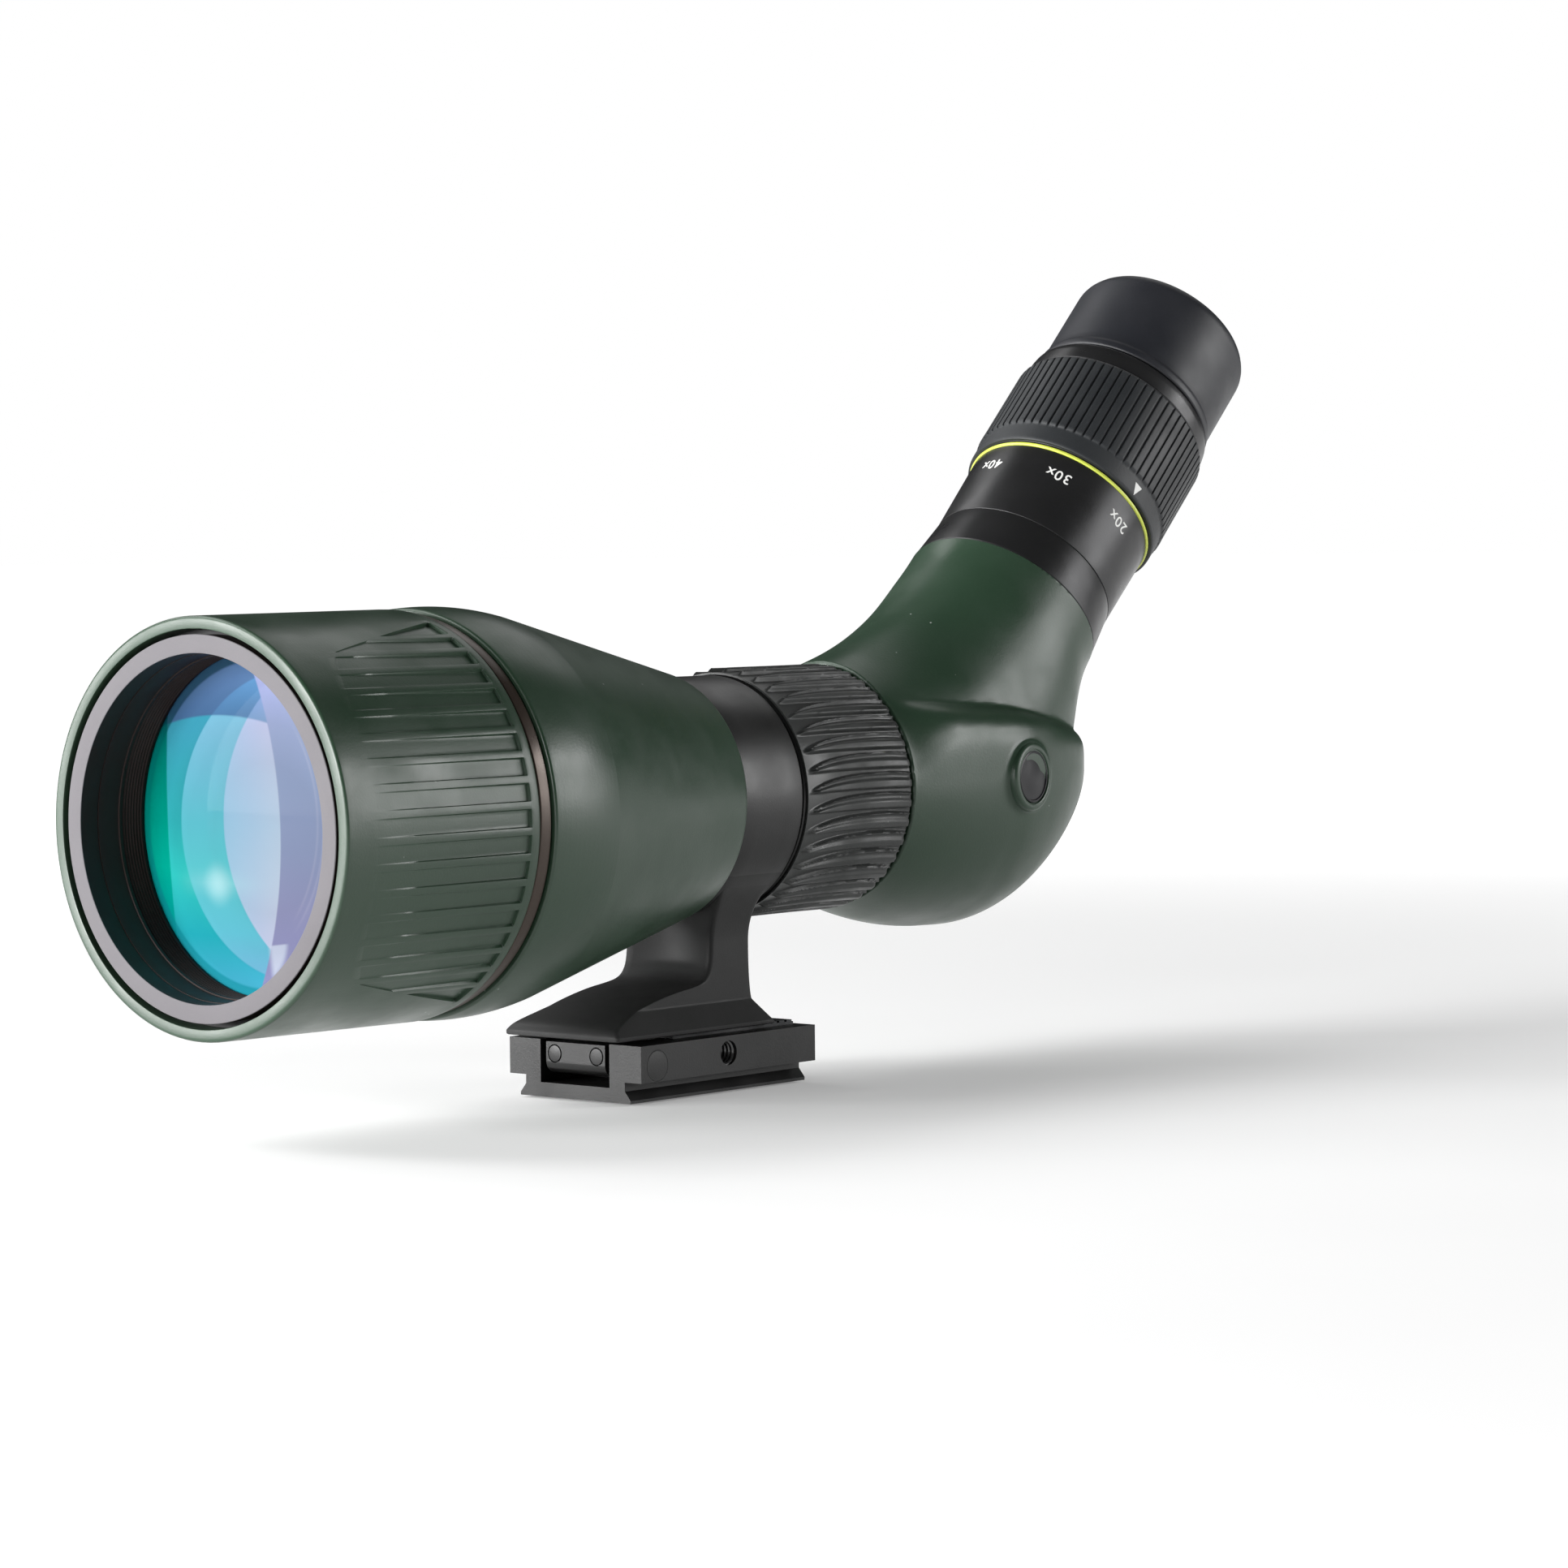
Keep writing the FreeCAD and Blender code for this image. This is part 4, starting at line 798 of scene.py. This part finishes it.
def neck_section(height):
    return [spline(height, NECK_HEIGHTS, values) for values in (NECK_WIDTHS, NECK_DEPTHS, NECK_SHIFTS)]


def neck_distance(p):
    """Roughly how far points lie outside the inclined neck."""
    q = p - EYE_ORIGIN
    along = q @ EYE_AXIS
    height = np.clip(along, -6, 70)
    width, depth, shift = neck_section(height)
    u = q @ EYE_UP + shift
    size = np.sqrt((q[:, 0] / width) ** 2 + (u / depth) ** 2)
    return np.maximum((size - 1) * np.minimum(width, depth), -7 - np.tanh(u / 10) - along)


BOSS_LEAN = math.radians(5.5)


def boss_middle(side):
    """The middle of the outer face of a cheek's round boss."""
    return np.array([side * 38.4, FRONT_Y + 272.5, AXIS_Z + 1.5])


def boss_distance(p, side):
    q = p - boss_middle(side)
    out = np.array([side * math.cos(BOSS_LEAN), math.sin(BOSS_LEAN), 0.0])
    along = q @ out
    radial = np.linalg.norm(q - along[:, None] * out, axis=1)
    return smooth_join(np.maximum(radial - 9.0, -12 - along), along + 0.9, -1.2)


def smooth_join(a, b, soft):
    """The union of two distances with a fillet, or with a negative fillet their intersection."""
    if soft < 0:
        return -smooth_join(-a, -b, -soft)
    h = np.clip(0.5 + 0.5 * (b - a) / soft, 0, 1)
    return b * (1 - h) + a * h - soft * h * (1 - h)


def housing_distance(p):
    """Pod, neck and the two bosses joined by small fillets."""
    d = smooth_join(pod_distance(p), neck_distance(p), 0.6)
    for side in (1, -1):
        d = smooth_join(d, boss_distance(p, side), 2.0)
    return d


def tube_mesh(verts, faces, rings):
    """Adds a capped tube through the given rings of points."""
    start = len(verts)
    count = len(rings[0])
    for ring_points in rings:
        verts.extend(ring_points)
    for i in range(len(rings) - 1):
        for j in range(count):
            k = (j + 1) % count
            faces.append((start + i * count + j, start + i * count + k, start + (i + 1) * count + k,
                          start + (i + 1) * count + j))
    faces.append(tuple(start + j for j in reversed(range(count))))
    faces.append(tuple(start + (len(rings) - 1) * count + j for j in range(count)))


def make_housing():
    around = np.radians(np.arange(96) * 360 / 96)
    verts, faces = [], []
    rings = []
    for station in np.concatenate([[222.0], np.linspace(228.4, 316, 40), 325 - 9 * np.linspace(0.95, 0.12, 10) ** 2]):
        s = np.array([max(station, POD_FRONT)])
        grown = np.clip((station - POD_FRONT) / 40, 0, 1)
        width, above, below = (value[0] for value in pod_section(s))
        z = np.sin(around)
        rings.append(np.stack([width * np.cos(around), np.full(96, FRONT_Y + station),
                               AXIS_Z + POD_LIFT * grown + z * np.where(z > 0, above, below)], 1))
    tube_mesh(verts, faces, rings)
    rings = []
    for height in np.linspace(-6, 68.6, 40):
        h = np.array([min(height, 65.3)])
        width, depth, shift = (value[0] for value in neck_section(h))
        rings.append(EYE_ORIGIN + height * EYE_AXIS + (width * np.cos(around))[:, None] * np.array([1.0, 0, 0])
                     + (depth * np.sin(around) - shift)[:, None] * EYE_UP)
    tube_mesh(verts, faces, rings)
    for side in (1, -1):
        rings = []
        for along, r in ((-10, 8.8), (-2, 8.8), (-1.2, 8.4)):
            rings.append(boss_middle(side) + np.stack([np.full(96, side * along), r * np.cos(around) + 0.096 * along,
                                                       r * np.sin(around)], 1))
        tube_mesh(verts, faces, rings)
    obj = new_object("housing", verts, faces, 0)
    remesh = obj.modifiers.new("remesh", "REMESH")
    remesh.mode = "VOXEL"
    remesh.voxel_size = 1.0 * MM
    mesh = bpy.data.meshes.new_from_object(obj.evaluated_get(bpy.context.evaluated_depsgraph_get()))
    obj.modifiers.clear()
    obj.data = mesh
    points = np.zeros(len(mesh.vertices) * 3)
    mesh.vertices.foreach_get("co", points)
    p = points.reshape(-1, 3) / MM
    free = (p[:, 1] > FRONT_Y + 223.5) & (((p - EYE_ORIGIN) @ EYE_AXIS) < 67.5)
    for _ in range(12):
        d = housing_distance(p)
        grad = np.stack([(housing_distance(p + 0.02 * e) - d) / 0.02 for e in np.eye(3)], 1)
        move = -(d / np.maximum((grad ** 2).sum(1), 0.05))[:, None] * grad
        length = np.linalg.norm(move, axis=1, keepdims=True)
        move *= np.minimum(1, 1.5 / np.maximum(length, 1e-9))
        p[free] += move[free] * 0.8
    mesh.vertices.foreach_set("co", (p * MM).reshape(-1))
    bm = bmesh.new()
    bm.from_mesh(mesh)
    neck_end = Vector((EYE_ORIGIN + 65.2 * EYE_AXIS) * MM)
    for place, outward in (((0, (FRONT_Y + 227.9) * MM, 0), (0, -1, 0)), (neck_end, Vector(EYE_AXIS))):
        bmesh.ops.bisect_plane(bm, geom=bm.verts[:] + bm.edges[:] + bm.faces[:], plane_co=place, plane_no=outward,
                               clear_outer=True)
    for face in bm.faces:
        face.smooth = True
    bm.to_mesh(mesh)
    bm.free()
    shell = obj.modifiers.new("wall", "SOLIDIFY")
    shell.thickness = 2.2 * MM
    shell.offset = -1
    shell.use_rim = True
    finish_piece(obj, "scope", "green_paint", GREEN, "prism_housing")
    return obj


make_housing()


# ---- badges
def cheek_place(side):
    """Places on a side boss's own axis, which leans a little to the rear."""
    out = np.array([side * math.cos(BOSS_LEAN), math.sin(BOSS_LEAN), 0.0])
    across = np.array([-side * math.sin(BOSS_LEAN), math.cos(BOSS_LEAN), 0.0])

    def place(along, radius, degrees):
        a = np.radians(degrees)
        offset = (along + 0 * a)[..., None] * out + (radius * np.cos(a))[..., None] * across
        return boss_middle(side) + offset + (radius * np.sin(a))[..., None] * np.array([0, 0, 1.0])
    return place


def join_meshes(name, objects):
    bm = bmesh.new()
    for obj in objects:
        bm.from_mesh(obj.data)
        bpy.data.objects.remove(obj)
    mesh = bpy.data.meshes.new(name)
    bm.to_mesh(mesh)
    bm.free()
    return placed(name, mesh)


def make_badges():
    """Plain glossy domed discs, each inside the raised rim of its boss."""
    dome = [(-2.0, 0.0), (-2.0, 7.1), (-0.75, 7.15), (-0.35, 7.0), (-0.25, 6.75), (-0.27, 6.45), (-0.55, 6.25),
            (-0.53, 5.5), (-0.40, 4.2), (-0.27, 2.8), (-0.18, 1.4), (-0.15, 0.0)]
    rim = [(-2.0, 7.35), (-0.15, 7.35, 0.12), (-0.02, 7.7), (0.0, 8.5, 0.4), (-0.5, 9.3, 0.5), (-2.0, 9.6)]
    discs, rims = [], []
    for side in (1, -1):
        discs.append(closed_turned(f"disc{side}", dome, cheek_place(side), 96))
        rims.append(turned(f"rim{side}", rim, cheek_place(side), 0.2, 96))
    finish_piece(join_meshes("badge_discs", discs), "scope", "badge_black", BADGE, "side_badges")
    finish_piece(join_meshes("badge_rims", rims), "scope", "green_paint", GREEN)


make_badges()


# ---- collar with its foot
def corner_cut(points, times=3):
    """A polyline with its corners cut off again and again, so that it turns smoothly."""
    points = np.asarray(points, float)
    for _ in range(times):
        a = points[:-1] * 0.75 + points[1:] * 0.25
        b = points[:-1] * 0.25 + points[1:] * 0.75
        middle = np.stack([a, b], 1).reshape(-1, 2)
        points = np.concatenate([points[:1], middle, points[-1:]])
    return points


def foot_half_width(z):
    flare = np.interp(z, [15.98, 16.3, 17.1, 22.55, 22.75], [19.3, 19.6, 19.6, 15.06, 15.0])
    low, centre, radius = 38.3, 35.0, 20.0
    up = np.clip(z - low, 0, 14.6)
    return np.where(z > low, centre - np.sqrt(radius ** 2 - up ** 2), flare)


def make_collar():
    nose = corner_cut([(123.7, 17.3), (124.7, 19.0), (130.5, 21.1), (138, 23.6), (149, 26.1), (156.5, 27.0),
                       (161.3, 27.9), (163.6, 29.8), (164.7, 32.5), (165.2, 38), (165.5, 43.5), (164.9, 48.5),
                       (163.0, 52), (161.3, 54.5), (161.0, 57)])
    heel = corner_cut([(185.2, 16.6), (184.4, 17.2), (182.2, 20.9), (181, 22.9), (180.3, 29), (180.1, 37.5),
                       (180.5, 43.7), (181.3, 49), (182.8, 53), (183.0, 57)])
    levels = np.concatenate([[15.98, 16.25, 16.7, 17.1], np.linspace(17.5, 22.4, 12), [22.55, 22.75],
                             np.linspace(23.2, 30, 24), np.linspace(30.6, 56, 34)])
    rings = []
    for z in levels:
        front = np.interp(z, nose[:, 1], nose[:, 0]) + 0.3 * (z < 16.1)
        rear = np.interp(z, heel[:, 1], heel[:, 0]) - 0.3 * (z < 16.1)
        w = float(foot_half_width(z))
        r = 1.0
        hollow = 2.4 * smooth_step(24, 33, z) * (1 - smooth_step(50, 56, z))
        across, back = w - r, rear - r
        outline = [(x, front + hollow * (1 - (x / across) ** 2)) for x in np.linspace(-across, across, 17)]
        outline += [(across + r * math.sin(a), front + r - r * math.cos(a)) for a in np.radians([18, 36, 54, 72])]
        outline += [(w, y) for y in np.linspace(front + r, back, 14)]
        outline += [(across + r * math.cos(a), back + r * math.sin(a)) for a in np.radians([30, 60])]
        outline += [(x, rear) for x in np.linspace(across, -across, 6)]
        outline += [(-across - r * math.cos(a), back + r * math.sin(a)) for a in np.radians([60, 30])]
        outline += [(-w, y) for y in np.linspace(back, front + r, 14)]
        outline += [(-across - r * math.sin(a), front + r - r * math.cos(a)) for a in np.radians([72, 54, 36, 18])]
        rings.append([np.array([x, FRONT_Y + y, z]) for x, y in outline])
    verts, faces = [], []
    tube_mesh(verts, faces, rings)
    band_rows = split_long(rounded([(160.6, 29.05), (160.6, 31.1, 0.7), (183.4, 31.1, 0.7), (183.4, 29.05)], 0.1), 6)
    start = len(verts)
    verts.extend(grid_of(barrel_points, band_rows, 192).reshape(-1, 3))
    faces.extend(tuple(start + corner for corner in face) for face in loop_faces(192, len(band_rows)))
    boss = [(-28.8, 7.5), (-30.5, 7.5), (-35.6, 7.5), (-36.2, 7.2), (-36.5, 6.6)]
    rings = []
    for x, r in boss:
        a = np.radians(np.arange(48) * 7.5)
        rings.append(np.stack([np.full(48, x), FRONT_Y + 172 + r * np.cos(a), AXIS_Z + r * np.sin(a)], 1))
    tube_mesh(verts, faces, rings)
    collar = new_object("collar", verts, faces, 30)
    finish_piece(collar, "foot", "casting_black", CASTING, "tripod_collar")
    collar.data.materials.append(FOOT)
    for face in collar.data.polygons:
        if face.center.z < 56 * MM:
            face.material_index = 1


make_collar()


# ---- lock knob
def slot_of(node):
    for part in frame["record"]["subparts"]:
        if part["node"] == node:
            return part["material_slot"]


def make_lock_knob():
    columns = 12 * 16
    a = np.arange(columns) * 2 * math.pi / columns
    flute = np.abs((a / (2 * math.pi) * 12) % 1.0 - 0.5)
    dent = 0.75 * (1 - smooth_step(0.10, 0.32, flute))
    rows = [(37.2, 2.55, 0), (37.2, 9.9, 0.3), (37.5, 10.3, 0.8), (38.0, 10.45, 1), (42, 10.45, 1), (46, 10.45, 1),
            (48.4, 10.45, 1), (49.3, 10.15, 1), (49.9, 9.5, 0.8), (50.15, 8.7, 0.3), (50.15, 7.4, 0),
            (49.75, 7.1, 0), (49.6, 6.6, 0), (49.6, 2.0, 0), (49.5, 0.7, 0), (46.8, 0.6, 0), (46.8, 2.55, 0)]
    grid = np.zeros((columns, len(rows), 3))
    for j, (x, r, cut) in enumerate(rows):
        radius = r - dent * cut
        grid[:, j, 0] = -x
        grid[:, j, 1] = FRONT_Y + 172 + radius * np.cos(a)
        grid[:, j, 2] = AXIS_Z + radius * np.sin(a)
    knob = loop_surface("locking_knob", grid, 40)
    finish_piece(knob, "lock_knob", slot_of("lock_knob"), RUBBER, "lock_knob")


make_lock_knob()


# ---- plate details
def along_x(x0, y0, z0, sign=1):
    def place(along, radius, degrees):
        a = np.radians(degrees)
        return np.stack([x0 + sign * along + 0 * a, y0 + radius * np.cos(a), z0 + radius * np.sin(a)], -1)
    return place


def along_y(x0, y0, z0):
    def place(along, radius, degrees):
        a = np.radians(degrees)
        return np.stack([x0 + radius * np.cos(a), y0 + along + 0 * a, z0 + radius * np.sin(a)], -1)
    return place


def make_accessory_thread():
    """The thread turns inside the plate's side hole, and the hole's own countersink."""
    profile = [(-1.0, 3.17), (-1.0, 3.1)]
    for k in range(7):
        at = -1.3 - k * 1.27
        profile += [(at, 2.72), (at - 0.35, 2.72), (at - 0.75, 3.05), (at - 0.95, 3.05)]
    profile += [(-10.3, 2.9), (-10.3, 3.17)]
    thread = turned("accessory_thread", profile, along_x(22.7, FRONT_Y + 162.5, 10.4), 0.05, 64)
    finish_piece(thread, "foot", "casting_black", THREAD)


make_accessory_thread()


def make_flush_discs():
    """The flap's two studs and the pin's head, each with a fine gap round it."""
    disc = [(0.9, 0.0), (0.9, 1.0), (0.14, 1.0), (0.03, 0.985), (0.0, 0.93), (0.0, 0.0)]
    studs = []
    for side in (1, -1):
        outline = [(s, r * 2.08) for s, r in disc]
        studs.append(closed_turned(f"stud{side}", outline, along_y(side * 7.2, FRONT_Y + 129.02, 11.3), 48))
    finish_piece(join_meshes("studs", studs), "foot", "casting_black", CASTING, "flap_studs")
    head = [(-s, r * 3.72) for s, r in disc]
    plug = closed_turned("pin_plug", head, along_x(22.72, FRONT_Y + 135.0, 9.5), 64)
    finish_piece(plug, "foot", "casting_black", CASTING)


make_flush_discs()


# ---- printed figures
def wrap_text(name, text, size, height, degrees):
    """A figure on the scale barrel, its top towards the objective."""
    data = bpy.data.curves.new(name, "FONT")
    data.body = text
    data.size = size
    data.align_x = "CENTER"
    data.align_y = "CENTER"
    data.extrude = 0.03
    data.offset = 0.03
    data.space_character = 1.12
    data.resolution_u = 4
    letters = placed(name, data)
    mesh = bpy.data.meshes.new_from_object(letters.evaluated_get(bpy.context.evaluated_depsgraph_get()))
    bpy.data.objects.remove(letters)
    bm = bmesh.new()
    bm.from_mesh(mesh)
    bmesh.ops.remove_doubles(bm, verts=bm.verts, dist=1e-5)
    bmesh.ops.triangulate(bm, faces=bm.faces)
    for vert in bm.verts:
        x, y, z = vert.co
        r = 27.22 + 0.43 * (height - y - 78.7) / 24.5 + 0.05 + z
        a = degrees + math.degrees(x / 27.6)
        point = eyepiece_points(np.array(height - y), np.array(r), np.array(a))
        vert.co = Vector(point.reshape(3) * MM)
    bm.to_mesh(mesh)
    bm.free()
    return finish_piece(placed(name, mesh), "scope", None, PRINT)


for k in range(5):
    wrap_text(f"figure_{20 + 10 * k}", f"{20 + 10 * k}x", 4.7, 96.3, 7.7 + 46 * k)


def make_index():
    """The white triangle on the zoom ring that points at the figures."""
    verts, faces = [], []
    corners = [(105.3, 10.2), (109.0, 7.4), (109.0, 13.2)]
    for r in (28.98, 29.12):
        for h, a in corners:
            verts.append(eyepiece_points(np.array(h), np.array(r), np.array(a)).reshape(3))
    faces = [(0, 1, 2), (3, 5, 4), (0, 3, 4, 1), (1, 4, 5, 2), (2, 5, 3, 0)]
    index = new_object("zoom_index", verts, faces)
    finish_piece(index, "zoom_ring", None, PRINT)


make_index()


# ---- plain CAD nodes take their finish
CAD_FINISHES = {
    "green_paint": GREEN, "bushing_black": INNER_BLACK, "trim_grey": TRIM, "baffle_black": BAFFLE,
    "black_anodised": ANODISED, "coated_glass": INNER_GLASS, "inner_glass": INNER_GLASS,
    "bronze_anodised": BRONZE, "inner_black": INNER_BLACK, "steel": STEEL, "rubber_black": RUBBER,
    "badge_black": BADGE, "lime": LIME, "casting_black": CASTING, "liner_plastic": LINER, "seal_rubber": SEAL,
}
for part in frame["record"]["subparts"]:
    obj = frame["nodes"][part["node"]]
    obj.data.materials.clear()
    plate = part["node"] in ("plate_body", "plate_flap")
    finish = PLATE if plate else CAD_FINISHES[part["material_slot"]]
    obj.data.materials.append(finish)
    if part["node"].startswith("plate"):
        edge = obj.modifiers.new("soft_edges", "BEVEL")
        edge.width = 0.32 * MM
        edge.segments = 2
        edge.limit_method = "ANGLE"
        edge.angle_limit = math.radians(35)


# ---- stage and light
FLOOR_NEAR, FLOOR_FAR, FLOOR_GLOW = 0.35, 1.6, 0.2


def make_stage():
    """A pale floor that brightens with distance until it meets the white background."""
    mesh = bpy.data.meshes.new("floor")
    size, z = 40.0, -0.0006
    mesh.from_pydata([(-size, -size, z), (size, -size, z), (size, size, z), (-size, size, z)], [], [(0, 1, 2, 3)])
    floor = placed("floor", mesh)
    mat, tree, bsdf = nodes_of("floor_paper")
    at = coordinates(tree)
    tone = ramp(tree, noise(tree, at, 3.0), [(0.3, grey(0.84)), (0.7, grey(0.88))])
    tree.links.new(tone, bsdf.inputs["Base Color"])
    bsdf.inputs["Roughness"].default_value = 0.9
    away = tree.nodes.new("ShaderNodeVectorMath")
    away.operation = "LENGTH"
    tree.links.new(at, away.inputs[0])
    glow = smooth_range(tree, away.outputs["Value"], FLOOR_NEAR, FLOOR_FAR, FLOOR_GLOW)
    bsdf.inputs["Emission Color"].default_value = (1, 1, 1, 1)
    tree.links.new(glow, bsdf.inputs["Emission Strength"])
    mesh.materials.append(mat)


def softbox(name, azimuth, elevation, distance, width, height, watts):
    """A soft lamp aimed at the scope, by its direction: azimuth is from +X towards +Y."""
    az, el = math.radians(azimuth), math.radians(elevation)
    away = Vector((math.cos(az) * math.cos(el), math.sin(az) * math.cos(el), math.sin(el)))
    data = bpy.data.lights.new(name, "AREA")
    data.shape = "RECTANGLE"
    data.size, data.size_y = width, height
    data.energy = watts
    light = placed(name, data)
    light.location = Vector((0, 0, 0.08)) + away * distance
    light.rotation_euler = (-away).to_track_quat("-Z", "Y").to_euler()
    light.visible_camera = False


def make_world():
    world = bpy.data.worlds.new("studio")
    world.use_nodes = True
    nodes, links = world.node_tree.nodes, world.node_tree.links
    seen = nodes["Background"]
    seen.inputs["Color"].default_value = (1, 1, 1, 1)
    seen.inputs["Strength"].default_value = 1.0
    ambient = nodes.new("ShaderNodeBackground")
    ambient.inputs["Color"].default_value = (0.95, 0.98, 1.0, 1)
    ambient.inputs["Strength"].default_value = 0.03
    path = nodes.new("ShaderNodeLightPath")
    mix = nodes.new("ShaderNodeMixShader")
    links.new(path.outputs["Is Camera Ray"], mix.inputs[0])
    links.new(ambient.outputs[0], mix.inputs[1])
    links.new(seen.outputs[0], mix.inputs[2])
    links.new(mix.outputs[0], nodes["World Output"].inputs["Surface"])
    bpy.context.scene.world = world


make_stage()
make_world()
SOFTBOXES = [
    ("key_upper", 45, 20, 1.5, 0.55, 0.3, 4.5),
    ("key_lower_left", 35, 7, 1.5, 0.42, 0.22, 2.9),
    ("key_lower_right", 50, 7, 1.5, 0.42, 0.22, 2.1),
    ("key_side", 20, 20, 1.5, 0.55, 0.3, 1.9),
    ("front_low", -105, 9, 1.6, 0.6, 0.45, 30.0),
    ("front_low_right", -80, 9, 1.6, 0.6, 0.45, 6.5),
    ("front_low_left", -131, 5, 1.6, 0.6, 0.4, 15.0),
    ("front_high", -135, 42, 1.6, 0.8, 0.7, 10.3),
    ("left_high", 180, 42, 1.6, 0.8, 0.7, 5.4),
    ("rear_high", 110, 42, 1.6, 0.8, 0.7, 2.0),
]
for box in SOFTBOXES:
    softbox(*box)
bpy.context.scene.view_settings.view_transform = "Standard"
